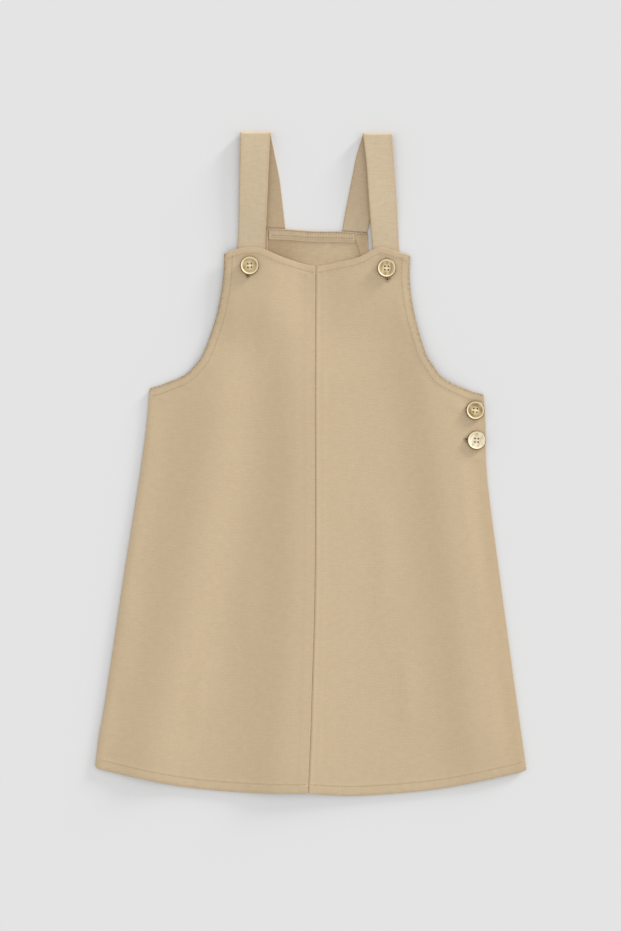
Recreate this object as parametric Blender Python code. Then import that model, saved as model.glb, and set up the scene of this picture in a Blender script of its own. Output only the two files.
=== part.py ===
"""Child's pinafore dress, laid flat with its front up.

Sizes are in millimetres and become metres where the meshes are made. X runs across the dress,
Y from the hem to the straps, and Z up from the surface that it lies on. The origin is on that
surface, under the middle of the dress. In the tables, heights along the dress (the column y)
are measured up from the lowest point of the hem.

The layers, from the surface up: the back panel and the back legs of the straps; the turned hems
on the back's inner face; the front legs of the straps; the two front panels; the buttons.
"""

from bisect import bisect_right
from collections import namedtuple
from math import cos, exp, hypot, pi, sin

import bmesh
import bpy
from mathutils import Matrix, Vector

MM = 0.001  # metres in a millimetre

# ---- driving dimensions, in millimetres ----

LENGTH = 628.0  # folds of the straps to the lowest point of the hem
PIECE_GAP = 0.3  # between pieces that touch

BACK_WALL = 1.0
HEM_WALL = 1.0
STRAP_WALL = 1.2
FRONT_WALL = 1.2

BACK_INSET = 0.8  # the back's sides and hem lie this far inside the front's
HEM_SETBACK = 0.4  # a turned hem starts this far inside the back's edge
NECK_HEM_DEPTH = 10.5
HEM_MEETING_GAP = 0.45  # between the ends of the neck hem and the curved armhole hems
ARMHOLE_HEM_FOOT = 488.0  # the built stretch of the armhole hems ends at this height

STRAP_FOLD_GAP = 3.4  # clear space between a strap's two legs at its fold
STRAP_ACROSS = (0.0, 0.04, 0.5, 0.96, 1.0)  # where a strap's section has its points

BUTTON_RADIUS = 9.0
BUTTON_HOLE_RADIUS = 0.95
BUTTON_HOLE_SPACING = 3.6
BUTTON_FOOT_RADIUS = 7.2  # the flat underside

EDGE_EASE = 0.35  # share of a wall that its edges are rounded down by
EDGE_BAND = 0.008  # the rounded strip, as a share of the panel's width and height
HEM_EDGE_BAND = 0.06  # the same on the narrow hems
UNDERARM_SHARE = 0.76  # share of a panel's rows that lie below its underarm
HEM_CURVE_FADE = 4  # how fast the hem's curve dies away up the panel, as a power
NECK_CURVE_FADE = 6  # the same for the neck's curve, down the panel

# ---- level of detail ----

PATH_STEPS = 12  # points to a stretch of a smooth outline
SKIRT_ROWS = 17
BIB_ROWS = 22
FRONT_COLUMNS = 18
BACK_COLUMNS = 14
BAND_STEPS = 10
LEG_SECTIONS = 12
FOLD_SECTIONS = 6
BUTTON_SEGMENTS = 24
HOLE_SEGMENTS = 8
SMOOTH_ANGLE = 40.0 * pi / 180.0

# ---- outlines ----

Point = namedtuple("Point", "name x y")

SIDE_LEFT = (
    Point("hem_corner", -204.0, 28.0),
    Point("above_hem", -200.3, 57.0),
    Point("low_skirt", -194.4, 91.0),
    Point("mid_skirt", -176.6, 209.0),
    Point("hip", -161.8, 303.0),
    Point("waist", -155.4, 351.0),
    Point("underarm", -152.5, 385.3),
)

SIDE_RIGHT = (
    Point("hem_corner", 204.2, 24.4),
    Point("low_skirt", 194.7, 91.0),
    Point("mid_skirt", 178.6, 209.0),
    Point("hip", 167.0, 300.0),
    Point("waist", 165.4, 350.0),
    Point("underarm", 163.8, 379.4),
)

ARMHOLE_LEFT = (
    Point("underarm", -152.5, 385.3),
    Point("flat_end", -140.4, 388.9),
    Point("bend_low", -120.0, 397.5),
    Point("bend", -109.6, 406.9),
    Point("bend_high", -101.2, 419.5),
    Point("chest", -89.2, 453.8),
    Point("below_corner", -83.1, 487.0),
    Point("bib_corner", -81.8, 512.8),
)

ARMHOLE_RIGHT = (
    Point("underarm", 163.8, 379.4),
    Point("flat_end", 148.5, 383.7),
    Point("bend_low", 126.0, 394.4),
    Point("bend", 115.7, 406.8),
    Point("bend_high", 107.4, 422.2),
    Point("chest", 96.9, 461.0),
    Point("below_corner", 93.4, 492.0),
    Point("bib_corner", 94.3, 510.8),
)

NECK_LEFT = (
    Point("bib_corner", -81.8, 512.8),
    Point("strap_outer", -69.4, 517.1),
    Point("crown", -56.5, 518.8),
    Point("strap_inner", -45.5, 517.3),
    Point("slope", -29.0, 510.4),
    Point("low_slope", -10.6, 504.2),
    Point("seam", 4.8, 500.5),
)

NECK_RIGHT = (
    Point("seam", 4.8, 500.5),
    Point("low_slope", 22.0, 503.9),
    Point("slope", 44.0, 508.9),
    Point("strap_inner", 57.7, 516.0),
    Point("crown", 66.5, 518.7),
    Point("strap_outer", 81.0, 515.0),
    Point("bib_corner", 94.3, 510.8),
)

HEM_LEFT = (
    Point("hem_corner", -204.0, 28.0),
    Point("outer", -194.6, 23.8),
    Point("half", -122.1, 8.7),
    Point("inner", -60.0, 3.0),
    Point("seam", -2.5, 2.1),
)

HEM_RIGHT = (
    Point("seam", -2.5, 2.1),
    Point("lowest", 38.0, 0.0),
    Point("inner", 86.0, 2.6),
    Point("half", 131.3, 8.0),
    Point("outer", 190.0, 20.2),
    Point("hem_corner", 204.2, 24.4),
)

CENTRE_SEAM = (
    Point("hem", -2.5, 2.1),
    Point("above_hem", -0.3, 52.4),
    Point("low_skirt", 0.9, 90.3),
    Point("hip", 4.1, 213.4),
    Point("chest", 4.1, 393.0),
    Point("neck", 4.8, 500.5),
)

BACK_ARMHOLE_LEFT = (
    Point("underarm", -152.5, 385.3),
    Point("flat_end", -129.0, 387.8),
    Point("bend_low", -110.0, 397.0),
    Point("bend", -95.0, 412.0),
    Point("chest", -71.0, 445.0),
    Point("below_strap", -53.0, 482.0),
    Point("corner", -50.0, 536.8),
)

BACK_ARMHOLE_RIGHT = (
    Point("underarm", 163.8, 379.4),
    Point("flat_end", 138.0, 383.6),
    Point("bend_low", 119.6, 393.4),
    Point("bend", 104.4, 406.6),
    Point("chest", 76.5, 442.0),
    Point("below_strap", 57.5, 480.0),
    Point("corner", 53.9, 532.5),
)

BACK_TOP = (
    Point("corner_left", -50.0, 536.8),
    Point("strap_left", -25.3, 536.1),
    Point("middle", 3.0, 534.1),
    Point("strap_right", 29.6, 533.8),
    Point("corner_right", 53.9, 532.5),
)

# ---- how the front lies: soft lengthwise folds, and lifts over what is beneath ----

Fold = namedtuple(
    "Fold", "name x_low y_low x_mid y_mid x_top y_top reach_left reach_right rise")

FOLDS = (
    Fold("left_of_centre", -172.0, -40.0, -101.0, 280.0, -75.0, 455.0, 31.0, 29.0, 3.3),
    Fold("along_the_seam", -38.0, -60.0, -12.0, 223.0, -20.0, 480.0, 30.0, 56.0, 3.4),
    Fold("right_of_centre", 163.0, -20.0, 126.0, 299.0, 93.0, 500.0, 25.0, 40.0, 2.4),
)
FOLD_FADE = 90.0  # the length over which a fold dies away at its ends
SIDE_FADE = 26.0  # the width over which the folds come down to the side seams

Lift = namedtuple("Lift", "name x y reach_x reach_y rise")

LIFTS = (
    Lift("over_left_strap_end", -54.0, 500.0, 38.0, 62.0, 3.2),
    Lift("over_right_strap_end", 60.0, 500.0, 38.0, 56.0, 1.45),
)

# ---- straps: rows from the root at the back's top edge over the fold to the hidden end ----
# rest_out and rest_in are the heights of the strap's lower face at its two edges.

StrapRow = namedtuple("StrapRow", "name x_out y_out rest_out x_in y_in rest_in")

LEFT_BACK_LEG = (
    StrapRow("root", -50.0, 537.2, 0.0, -24.1, 536.4, 0.0),
    StrapRow("low", -52.0, 554.0, 0.0, -26.0, 553.7, 0.0),
    StrapRow("middle", -56.0, 582.0, 0.0, -29.3, 581.8, 0.0),
    StrapRow("high", -61.0, 605.0, 0.0, -33.7, 605.0, 0.0),
    StrapRow("fold", -66.6, LENGTH, 0.0, -37.8, LENGTH, 0.0),
)

LEFT_FRONT_LEG = (
    StrapRow("fold", -66.6, LENGTH, 4.6, -38.4, LENGTH, 4.6),
    StrapRow("high", -67.0, 600.0, 4.7, -39.5, 600.0, 5.3),
    StrapRow("middle", -67.9, 563.0, 4.0, -41.1, 563.0, 5.2),
    StrapRow("over_back_edge", -68.3, 537.0, 3.0, -42.3, 537.0, 4.2),
    StrapRow("bib_edge", -69.4, 516.0, 2.2, -43.2, 516.0, 2.8),
    StrapRow("end", -70.8, 482.5, 2.2, -44.8, 482.5, 2.8),
)

RIGHT_BACK_LEG = (
    StrapRow("root", 53.6, 532.9, 0.0, 29.7, 534.2, 0.0),
    StrapRow("low", 58.5, 553.0, 0.0, 33.1, 553.7, 0.0),
    StrapRow("middle", 67.0, 586.0, 0.0, 39.5, 586.8, 0.0),
    StrapRow("high", 71.5, 606.0, 0.0, 43.6, 606.8, 0.0),
    StrapRow("fold", 76.6, LENGTH - 1.0, 0.0, 48.9, LENGTH - 1.0, 0.0),
)

RIGHT_FRONT_LEG = (
    StrapRow("fold", 76.7, LENGTH - 1.0, 4.6, 49.4, LENGTH - 1.0, 4.6),
    StrapRow("high", 78.8, 596.0, 4.0, 52.6, 596.0, 5.1),
    StrapRow("middle", 81.2, 562.0, 2.6, 54.9, 562.0, 4.6),
    StrapRow("past_back_leg", 82.3, 540.0, 1.5, 56.6, 540.0, 3.0),
    StrapRow("bib_edge", 83.6, 516.0, 0.6, 58.5, 516.0, 0.9),
    StrapRow("end", 85.3, 480.5, 0.5, 60.4, 480.5, 0.6),
)

# ---- the hems that show at the top of the back's armholes ----

# inward is 1 or -1, the way to the middle of the dress.

ArmholeHem = namedtuple(
    "ArmholeHem", "name armhole inward width_top width_low flare_foot flare_length")

LEFT_HEM = ArmholeHem(
    "back_armhole_hem_left", BACK_ARMHOLE_LEFT, 1.0, 10.0, 9.6, 512.0, 22.0)
RIGHT_HEM = ArmholeHem(
    "back_armhole_hem_right", BACK_ARMHOLE_RIGHT, -1.0, 12.8, 7.6, 508.0, 24.0)

# ---- buttons ----

Button = namedtuple("Button", "name x y turn_degrees")

BUTTONS = (
    Button("button_strap_left", -57.7, 501.1, 4.0),
    Button("button_strap_right", 71.6, 498.8, -3.0),
    Button("button_side_upper", 155.4, 364.5, -8.0),
    Button("button_side_lower", 156.6, 336.2, -4.0),
)

RimPoint = namedtuple("RimPoint", "name radius height")

BUTTON_PROFILE = (
    RimPoint("foot_edge", BUTTON_FOOT_RADIUS, 0.0),
    RimPoint("belly", 8.6, 0.8),
    RimPoint("widest", BUTTON_RADIUS, 1.6),
    RimPoint("rim_outside", 8.6, 2.4),
    RimPoint("rim_crest", 8.0, 2.7),
    RimPoint("rim_inside", 7.3, 2.3),
    RimPoint("dish_edge", 6.3, 1.8),
    RimPoint("dish_floor", 3.9, 1.6),
)

# ---- colours, as sRGB values out of 255, and roughness ----

Finish = namedtuple("Finish", "name red green blue roughness")

FRONT_CLOTH = Finish("front_cloth", 202, 181, 150, 0.9)
INNER_CLOTH = Finish("inner_cloth", 194, 172, 140, 0.92)
STRAP_CLOTH = Finish("strap_cloth", 200, 179, 147, 0.9)
BUTTON_HORN = Finish("button_horn", 190, 166, 118, 0.35)


# ---- curves ----

def spline_point(before, start, end, after, share):
    """Return the point at share (0 to 1) between start and end on a Catmull-Rom curve."""
    square = share * share
    cube = square * share
    return tuple(
        0.5 * (2.0 * b + (c - a) * share + (2.0 * a - 5.0 * b + 4.0 * c - d) * square
               + (3.0 * b - a - 3.0 * c + d) * cube)
        for a, b, c, d in zip(before, start, end, after)
    )


def smooth_path(points, steps=PATH_STEPS):
    """Return a dense run of points on a smooth curve through the given ones."""
    first = tuple(2.0 * a - b for a, b in zip(points[0], points[1]))
    last = tuple(2.0 * a - b for a, b in zip(points[-1], points[-2]))
    knots = [first, *points, last]
    path = []
    for index in range(1, len(knots) - 2):
        for step in range(steps):
            path.append(spline_point(*knots[index - 1:index + 3], step / steps))
    path.append(tuple(points[-1]))
    return path


def outline(table):
    """Return the smooth outline through a table of named points."""
    return smooth_path([(point.x, point.y) for point in table])


def lengths_along(path):
    """Return the distance from the start of a path to each of its points."""
    total = 0.0
    lengths = [total]
    for here, there in zip(path, path[1:]):
        total += hypot(*(b - a for a, b in zip(here, there)))
        lengths.append(total)
    return lengths


def point_at(path, share):
    """Return the point at a share (0 to 1) of a path's length."""
    lengths = lengths_along(path)
    target = share * lengths[-1]
    index = min(bisect_right(lengths, target), len(path) - 1)
    span = lengths[index] - lengths[index - 1]
    part = (target - lengths[index - 1]) / span
    return mix(path[index - 1], path[index], part)


def height_at(path, x):
    """Return y where a path that runs from left to right passes x."""
    for here, there in zip(path, path[1:]):
        if here[0] <= x <= there[0]:
            return mix(here, there, (x - here[0]) / (there[0] - here[0]))[1]
    raise ValueError("the path does not reach this x")


def mix(start, end, share):
    """Return the point at a share of the way from start to end."""
    return tuple(a + (b - a) * share for a, b in zip(start, end))


def ease(share):
    """Return a smooth step from 0 to 1 as share goes from 0 to 1."""
    share = min(max(share, 0.0), 1.0)
    return share * share * (3.0 - 2.0 * share)


# ---- how the layers lie ----

def fold_centre(fold, y):
    """Return the x of a fold's crest at height y, on a curve through its three points."""
    low = (y - fold.y_mid) * (y - fold.y_top)
    low /= (fold.y_low - fold.y_mid) * (fold.y_low - fold.y_top)
    middle = (y - fold.y_low) * (y - fold.y_top)
    middle /= (fold.y_mid - fold.y_low) * (fold.y_mid - fold.y_top)
    top = (y - fold.y_low) * (y - fold.y_mid)
    top /= (fold.y_top - fold.y_low) * (fold.y_top - fold.y_mid)
    return fold.x_low * low + fold.x_mid * middle + fold.x_top * top


def inside_sides(x, y):
    """Return how far a place of the front lies inside the nearer side of the dress."""
    edges = []
    for side in (SIDE_LEFT, SIDE_RIGHT):
        level = min(max(y, side[0].y), side[-1].y)
        edges.append(height_at([(point.y, point.x) for point in side], level))
    return min(x - edges[0], edges[1] - x)


def front_rest(x, y):
    """Return the height of the front's lower face above the surface."""
    height = BACK_WALL + PIECE_GAP
    inside = ease(inside_sides(x, y) / SIDE_FADE)
    for fold in FOLDS:
        across = x - fold_centre(fold, y)
        across /= fold.reach_left if across < 0.0 else fold.reach_right
        along = ease((y - fold.y_low) / FOLD_FADE) * ease((fold.y_top - y) / FOLD_FADE)
        height += fold.rise * inside * along * exp(-across * across)
    for lift in LIFTS:
        across = (x - lift.x) / lift.reach_x
        along = (y - lift.y) / lift.reach_y
        height += lift.rise * exp(-across ** 4 - along ** 4)
    return height


def front_top(x, y):
    """Return the height of the front's upper face above the surface."""
    return front_rest(x, y) + FRONT_WALL


# ---- solids ----

def place(x, y, z):
    """Return a point of the tables, in millimetres, as a point of the frame in metres."""
    return (x * MM, (y - LENGTH / 2.0) * MM, z * MM)


def add_object(name, mesh, material, parent):
    """Make an object of a finished mesh, smooth but for its sharp edges."""
    mesh.shade_smooth()
    mesh.set_sharp_from_angle(angle=SMOOTH_ANGLE)
    mesh.materials.append(material)
    item = bpy.data.objects.new(name, mesh)
    item.parent = parent
    bpy.context.collection.objects.link(item)
    return item


def mesh_from(name, points, faces):
    """Return a mesh with its faces turned outwards."""
    mesh = bpy.data.meshes.new(name)
    mesh.from_pydata(points, [], faces)
    shape = bmesh.new()
    shape.from_mesh(mesh)
    bmesh.ops.recalc_face_normals(shape, faces=shape.faces)
    shape.to_mesh(mesh)
    shape.free()
    return mesh


def slab_mesh(name, plan, rest, wall):
    """Return a closed wall over a plan of rows of (x, y).

    rest(x, y) is the height of the lower face. The upper face comes down a little at the edge.
    """
    rows = len(plan)
    columns = len(plan[0])
    lower = []
    upper = []
    for row, line in enumerate(plan):
        for column, (x, y) in enumerate(line):
            at_edge = row in (0, rows - 1) or column in (0, columns - 1)
            top = wall * (1.0 - EDGE_EASE * at_edge)
            bottom = rest(x, y)
            lower.append(place(x, y, bottom))
            upper.append(place(x, y, bottom + top))
    count = len(lower)
    faces = []
    for row in range(rows - 1):
        for column in range(columns - 1):
            first = row * columns + column
            corners = (first, first + 1, first + columns + 1, first + columns)
            faces.append(tuple(reversed(corners)))
            faces.append(tuple(corner + count for corner in corners))
    rim = list(range(columns))
    rim += [row * columns + columns - 1 for row in range(1, rows)]
    rim += [(rows - 1) * columns + column for column in range(columns - 2, -1, -1)]
    rim += [row * columns for row in range(rows - 2, 0, -1)]
    for here, there in zip(rim, rim[1:] + rim[:1]):
        faces.append((here, there, there + count, here + count))
    return mesh_from(name, lower + upper, faces)


def stations(count, band=EDGE_BAND):
    """Return shares from 0 to 1, even but for a narrow strip at both ends."""
    inner = [band + (1.0 - 2.0 * band) * step / count for step in range(count + 1)]
    return [0.0, *inner, 1.0]


def row_stations():
    """Return the shares of a panel's height at its rows, with one at the underarm."""
    skirt = [UNDERARM_SHARE * row / SKIRT_ROWS for row in range(1, SKIRT_ROWS + 1)]
    bib = [UNDERARM_SHARE + (1.0 - UNDERARM_SHARE) * row / BIB_ROWS for row in range(1, BIB_ROWS)]
    return [0.0, EDGE_BAND, *skirt, *bib, 1.0 - EDGE_BAND, 1.0]


def side_and_armhole(side, armhole, share):
    """Return the point at a share of a panel's outer edge: its side, then its armhole."""
    if share <= UNDERARM_SHARE:
        return point_at(side, share / UNDERARM_SHARE)
    return point_at(armhole, (share - UNDERARM_SHARE) / (1.0 - UNDERARM_SHARE))


def panel_plan(left_edge, right_edge, hem, neck, columns, hem_inset=0.0):
    """Return rows of (x, y) that fill a panel between its four edges.

    Rows run straight from the left edge to the right one. The curves of the hem and the neck
    are added to them, and die away towards the middle of the panel. hem_inset draws the hem up.
    """
    plan = []
    for share in row_stations():
        start = left_edge(share)
        end = right_edge(share)
        hem_weight = (1.0 - share) ** HEM_CURVE_FADE
        neck_weight = share ** NECK_CURVE_FADE
        line = []
        for across in stations(columns):
            point = list(mix(start, end, across))
            for path, weight in ((hem, hem_weight), (neck, neck_weight)):
                curve = point_at(path, across)
                chord = mix(path[0], path[-1], across)
                for axis in range(2):
                    point[axis] += weight * (curve[axis] - chord[axis])
            point[1] += hem_weight * hem_inset
            line.append(tuple(point))
        plan.append(line)
    return plan


def outer_edge(side, armhole):
    """Return a panel's outer edge as a function of the share of its height."""
    side_path, armhole_path = outline(side), outline(armhole)
    return lambda share: side_and_armhole(side_path, armhole_path, share)


def seam_edge(offset):
    """Return the centre seam, moved across by offset, as a function of the share."""
    seam = outline(CENTRE_SEAM)

    def edge(share):
        x, y = point_at(seam, share)
        return (x + offset, y)
    return edge


def front_panels(material, parent):
    """Make the two halves of the front, which meet at the centre seam."""
    half_gap = PIECE_GAP / 2.0
    halves = (
        ("front_left_panel", outer_edge(SIDE_LEFT, ARMHOLE_LEFT), seam_edge(-half_gap),
         HEM_LEFT, NECK_LEFT),
        ("front_right_panel", seam_edge(half_gap), outer_edge(SIDE_RIGHT, ARMHOLE_RIGHT),
         HEM_RIGHT, NECK_RIGHT),
    )
    for name, left_edge, right_edge, hem, neck in halves:
        plan = panel_plan(left_edge, right_edge, outline(hem), outline(neck), FRONT_COLUMNS)
        add_object(name, slab_mesh(name, plan, front_rest, FRONT_WALL), material, parent)


def back_edge(side, armhole, inward):
    """Return the back's outer edge as a function of the share of its height.

    inward is 1 or -1, the way to the middle. The side lies inside the front's, and the edge
    meets its own outline again at the top of the armhole.
    """
    whole = outer_edge(side, armhole)

    def edge(share):
        x, y = whole(share)
        inset = BACK_INSET * ease((1.0 - share) / (1.0 - UNDERARM_SHARE))
        return (x + inward * inset, y)
    return edge


def back_panel(material, parent):
    """Make the back, flat on the surface and just inside the front's outline."""
    left_edge = back_edge(SIDE_LEFT, BACK_ARMHOLE_LEFT, 1.0)
    right_edge = back_edge(SIDE_RIGHT, BACK_ARMHOLE_RIGHT, -1.0)
    hem = outline(HEM_LEFT)[:-1] + outline(HEM_RIGHT)
    plan = panel_plan(left_edge, right_edge, hem, outline(BACK_TOP), BACK_COLUMNS, BACK_INSET)
    add_object("back_panel", slab_mesh("back_panel", plan, lambda x, y: 0.0, BACK_WALL),
               material, parent)


def hem_rest(x, y):
    """Return the height of the lower face of a hem that lies on the back."""
    return BACK_WALL + PIECE_GAP


def armhole_hem_edge(hem, y):
    """Return the x of the inner edge of an armhole hem at a height."""
    flare = ease((y - hem.flare_foot) / hem.flare_length)
    width = hem.width_low + (hem.width_top - hem.width_low) * flare
    return height_at(hem_armhole(hem), y) + hem.inward * width


def hem_armhole(hem):
    """Return the back's armhole that a hem follows, as (y, x) points that rise with y."""
    return [(y, x) for x, y in outline(hem.armhole)]


def armhole_hem(hem, material, parent):
    """Make the hem at the top of an armhole of the back."""
    armhole = hem_armhole(hem)
    top = armhole[-1][0] - HEM_SETBACK
    plan = []
    for share in stations(BAND_STEPS):
        y = ARMHOLE_HEM_FOOT + (top - ARMHOLE_HEM_FOOT) * share
        start = (height_at(armhole, y) + hem.inward * HEM_SETBACK, y)
        end = (armhole_hem_edge(hem, y), y)
        plan.append([mix(start, end, across) for across in stations(1, HEM_EDGE_BAND)])
    add_object(hem.name, slab_mesh(hem.name, plan, hem_rest, HEM_WALL), material, parent)


def neck_hem_end(hem, top_edge, drop):
    """Return the x where the neck hem meets an armhole hem, drop below the top edge."""
    corner = hem_armhole(hem)[-1]
    meeting = corner[1] + hem.inward * hem.width_top
    y = min(height_at(top_edge, meeting) - drop, corner[0] - HEM_SETBACK)
    return armhole_hem_edge(hem, y) + hem.inward * HEM_MEETING_GAP


def neck_hem(material, parent):
    """Make the hem along the back's top edge, between the two armhole hems."""
    top_edge = outline(BACK_TOP)
    plan = []
    for share in stations(1, HEM_EDGE_BAND):
        drop = HEM_SETBACK + NECK_HEM_DEPTH * (1.0 - share)
        left = neck_hem_end(LEFT_HEM, top_edge, drop)
        right = neck_hem_end(RIGHT_HEM, top_edge, drop)
        line = []
        for along in stations(BAND_STEPS):
            x = left + (right - left) * along
            line.append((x, height_at(top_edge, x) - drop))
        plan.append(line)
    add_object("back_neck_hem", slab_mesh("back_neck_hem", plan, hem_rest, HEM_WALL),
               material, parent)


def leg_sections(rows, fold_setback):
    """Return smooth sections of a strap's leg, each with its two edges at mid wall.

    A row at the fold stops short of it by fold_setback, where the turn begins.
    """
    knots = []
    for row in rows:
        setback = fold_setback if row.name == "fold" else 0.0
        knots.append((row.x_out, row.y_out - setback, row.rest_out + STRAP_WALL / 2.0,
                      row.x_in, row.y_in - setback, row.rest_in + STRAP_WALL / 2.0))
    path = smooth_path(knots)
    return [point_at(path, step / LEG_SECTIONS) for step in range(LEG_SECTIONS + 1)]


def fold_sections(last_back, first_front):
    """Return the sections of the half turn between a strap's back and front legs."""
    radius = (first_front[2] - last_back[2]) / 2.0
    sections = []
    for step in range(1, FOLD_SECTIONS):
        share = step / FOLD_SECTIONS
        angle = pi * (share - 0.5)
        flat = mix(last_back, first_front, share)
        forward = radius * cos(angle)
        height = last_back[2] + radius * (1.0 + sin(angle))
        sections.append((flat[0], flat[1] + forward, height, flat[3], flat[4] + forward, height))
    return sections


def section_loop(section, before, after):
    """Return the closed outline of a strap's section, square to the way the strap runs."""
    run = [(b + e) - (a + d) for a, b, d, e in zip(before[:3], after[:3], before[3:], after[3:])]
    face = Vector((0.0, run[2], -run[1])).normalized() * (STRAP_WALL / 2.0)
    loop = []
    for side, order in ((1.0, STRAP_ACROSS), (-1.0, tuple(reversed(STRAP_ACROSS)))):
        for share in order:
            wall = 1.0 - EDGE_EASE * (share in (0.0, 1.0))
            centre = Vector(mix(section[:3], section[3:], share))
            point = centre + face * side * wall
            loop.append(place(*point))
    return loop


def strap(name, back_rows, front_rows, material, parent):
    """Make a strap: its back leg on the surface, a half turn, and its front leg on top."""
    turn = STRAP_FOLD_GAP / 2.0 + STRAP_WALL
    back = leg_sections(back_rows, turn)
    front = leg_sections(front_rows, turn)
    sections = back + fold_sections(back[-1], front[0]) + front
    loops = []
    for index, section in enumerate(sections):
        before = sections[max(index - 1, 0)]
        after = sections[min(index + 1, len(sections) - 1)]
        loops.append(section_loop(section, before, after))
    size = len(loops[0])
    points = [point for loop in loops for point in loop]
    faces = [tuple(range(size)), tuple(range(len(points) - size, len(points)))]
    for index in range(len(loops) - 1):
        first = index * size
        for corner in range(size):
            following = (corner + 1) % size
            faces.append((first + corner, first + following,
                          first + size + following, first + size + corner))
    add_object(name, mesh_from(name, points, faces), material, parent)


def button_mesh():
    """Return a dished button with a rim and four holes, its underside at height 0."""
    shape = bmesh.new()
    rings = []
    for ring in BUTTON_PROFILE:
        circle = []
        for step in range(BUTTON_SEGMENTS):
            angle = 2.0 * pi * step / BUTTON_SEGMENTS
            x, y = ring.radius * cos(angle), ring.radius * sin(angle)
            circle.append(shape.verts.new((x * MM, y * MM, ring.height * MM)))
        rings.append(circle)
    for lower, upper in zip(rings, rings[1:]):
        for step in range(BUTTON_SEGMENTS):
            after = (step + 1) % BUTTON_SEGMENTS
            shape.faces.new((lower[step], lower[after], upper[after], upper[step]))
    shape.faces.new(reversed(rings[0]))
    shape.faces.new(rings[-1])
    bmesh.ops.recalc_face_normals(shape, faces=shape.faces)
    mesh = bpy.data.meshes.new("button")
    shape.to_mesh(mesh)
    shape.free()
    return mesh


def hole_cutter(parent):
    """Make the guide that cuts the four holes, hidden and left out of the model."""
    height = 2.0 * max(ring.height for ring in BUTTON_PROFILE) + PIECE_GAP
    shape = bmesh.new()
    half = BUTTON_HOLE_SPACING / 2.0
    for x in (-half, half):
        for y in (-half, half):
            bmesh.ops.create_cone(
                shape, cap_ends=True, segments=HOLE_SEGMENTS,
                radius1=BUTTON_HOLE_RADIUS * MM, radius2=BUTTON_HOLE_RADIUS * MM,
                depth=height * MM, matrix=Matrix.Translation(Vector((x, y, 0.0)) * MM))
    mesh = bpy.data.meshes.new("button_hole_cutter")
    shape.to_mesh(mesh)
    shape.free()
    cutter = bpy.data.objects.new("button_hole_cutter", mesh)
    cutter.hide_render = True
    cutter.display_type = "WIRE"
    cutter.parent = parent
    bpy.context.collection.objects.link(cutter)
    return cutter


def button_seat(x, y):
    """Return the slopes of the front under a button, and the height that clears it."""
    reach = BUTTON_FOOT_RADIUS
    slope_x = (front_top(x + reach, y) - front_top(x - reach, y)) / (2.0 * reach)
    slope_y = (front_top(x, y + reach) - front_top(x, y - reach)) / (2.0 * reach)
    highest = front_top(x, y)
    for step in range(BUTTON_SEGMENTS):
        angle = 2.0 * pi * step / BUTTON_SEGMENTS
        along, up = reach * cos(angle), reach * sin(angle)
        plane = slope_x * along + slope_y * up
        highest = max(highest, front_top(x + along, y + up) - plane)
    return slope_x, slope_y, highest + PIECE_GAP


def buttons(material, parent):
    """Make the four buttons, each lying on the slope of the cloth beneath it."""
    mesh = button_mesh()
    for button in BUTTONS:
        slope_x, slope_y, height = button_seat(button.x, button.y)
        item = add_object(button.name, mesh.copy(), material, parent)
        up = Vector((-slope_x, -slope_y, 1.0)).normalized()
        lean = Vector((0.0, 0.0, 1.0)).rotation_difference(up).to_matrix().to_4x4()
        turn = Matrix.Rotation(button.turn_degrees * pi / 180.0, 4, "Z")
        item.matrix_local = Matrix.Translation(place(button.x, button.y, height)) @ lean @ turn
        cutter = hole_cutter(item)
        cut = item.modifiers.new("holes", "BOOLEAN")
        cut.operation = "DIFFERENCE"
        cut.solver = "EXACT"
        cut.object = cutter


# ---- materials ----

def linear(value):
    """Return an sRGB value out of 255 as a linear one."""
    value /= 255.0
    return value / 12.92 if value <= 0.04045 else ((value + 0.055) / 1.055) ** 2.4


def material_of(finish):
    """Return a Principled material of a finish."""
    material = bpy.data.materials.new(finish.name)
    material.use_nodes = True
    shader = material.node_tree.nodes["Principled BSDF"]
    colour = (linear(finish.red), linear(finish.green), linear(finish.blue), 1.0)
    shader.inputs["Base Color"].default_value = colour
    shader.inputs["Roughness"].default_value = finish.roughness
    shader.inputs["Metallic"].default_value = 0.0
    return material


def main():
    """Clear the scene and make the dress."""
    for item in list(bpy.data.objects):
        bpy.data.objects.remove(item)
    dress = bpy.data.objects.new("pinafore_dress", None)
    bpy.context.collection.objects.link(dress)
    inner = material_of(INNER_CLOTH)
    straps = material_of(STRAP_CLOTH)
    back_panel(inner, dress)
    neck_hem(inner, dress)
    armhole_hem(LEFT_HEM, inner, dress)
    armhole_hem(RIGHT_HEM, inner, dress)
    strap("strap_left", LEFT_BACK_LEG, LEFT_FRONT_LEG, straps, dress)
    strap("strap_right", RIGHT_BACK_LEG, RIGHT_FRONT_LEG, straps, dress)
    front_panels(material_of(FRONT_CLOTH), dress)
    buttons(material_of(BUTTON_HORN), dress)


main()
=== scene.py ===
"""A child's pinafore dress, laid flat with its front up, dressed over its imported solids.

Sizes are in millimetres and become metres where meshes are made. X runs across the dress, Y
from the hem to the straps and Z up from the surface that it lies on. In the tables, y is
measured up from the lowest point of the hem, and x from the middle of the dress.

Each piece of cloth is a thin closed shell with rounded edges. Its outline, its lay over what
is beneath, the bands of its hems and the rows of its stitches all come from the same paths.
"""
import logging
import math
from collections.abc import Callable, Sequence
from dataclasses import dataclass, field
from enum import Enum
from typing import NamedTuple

import bpy
import numpy as np
from mathutils import Matrix, Vector
from mathutils.geometry import delaunay_2d_cdt
from mathutils.kdtree import KDTree


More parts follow.
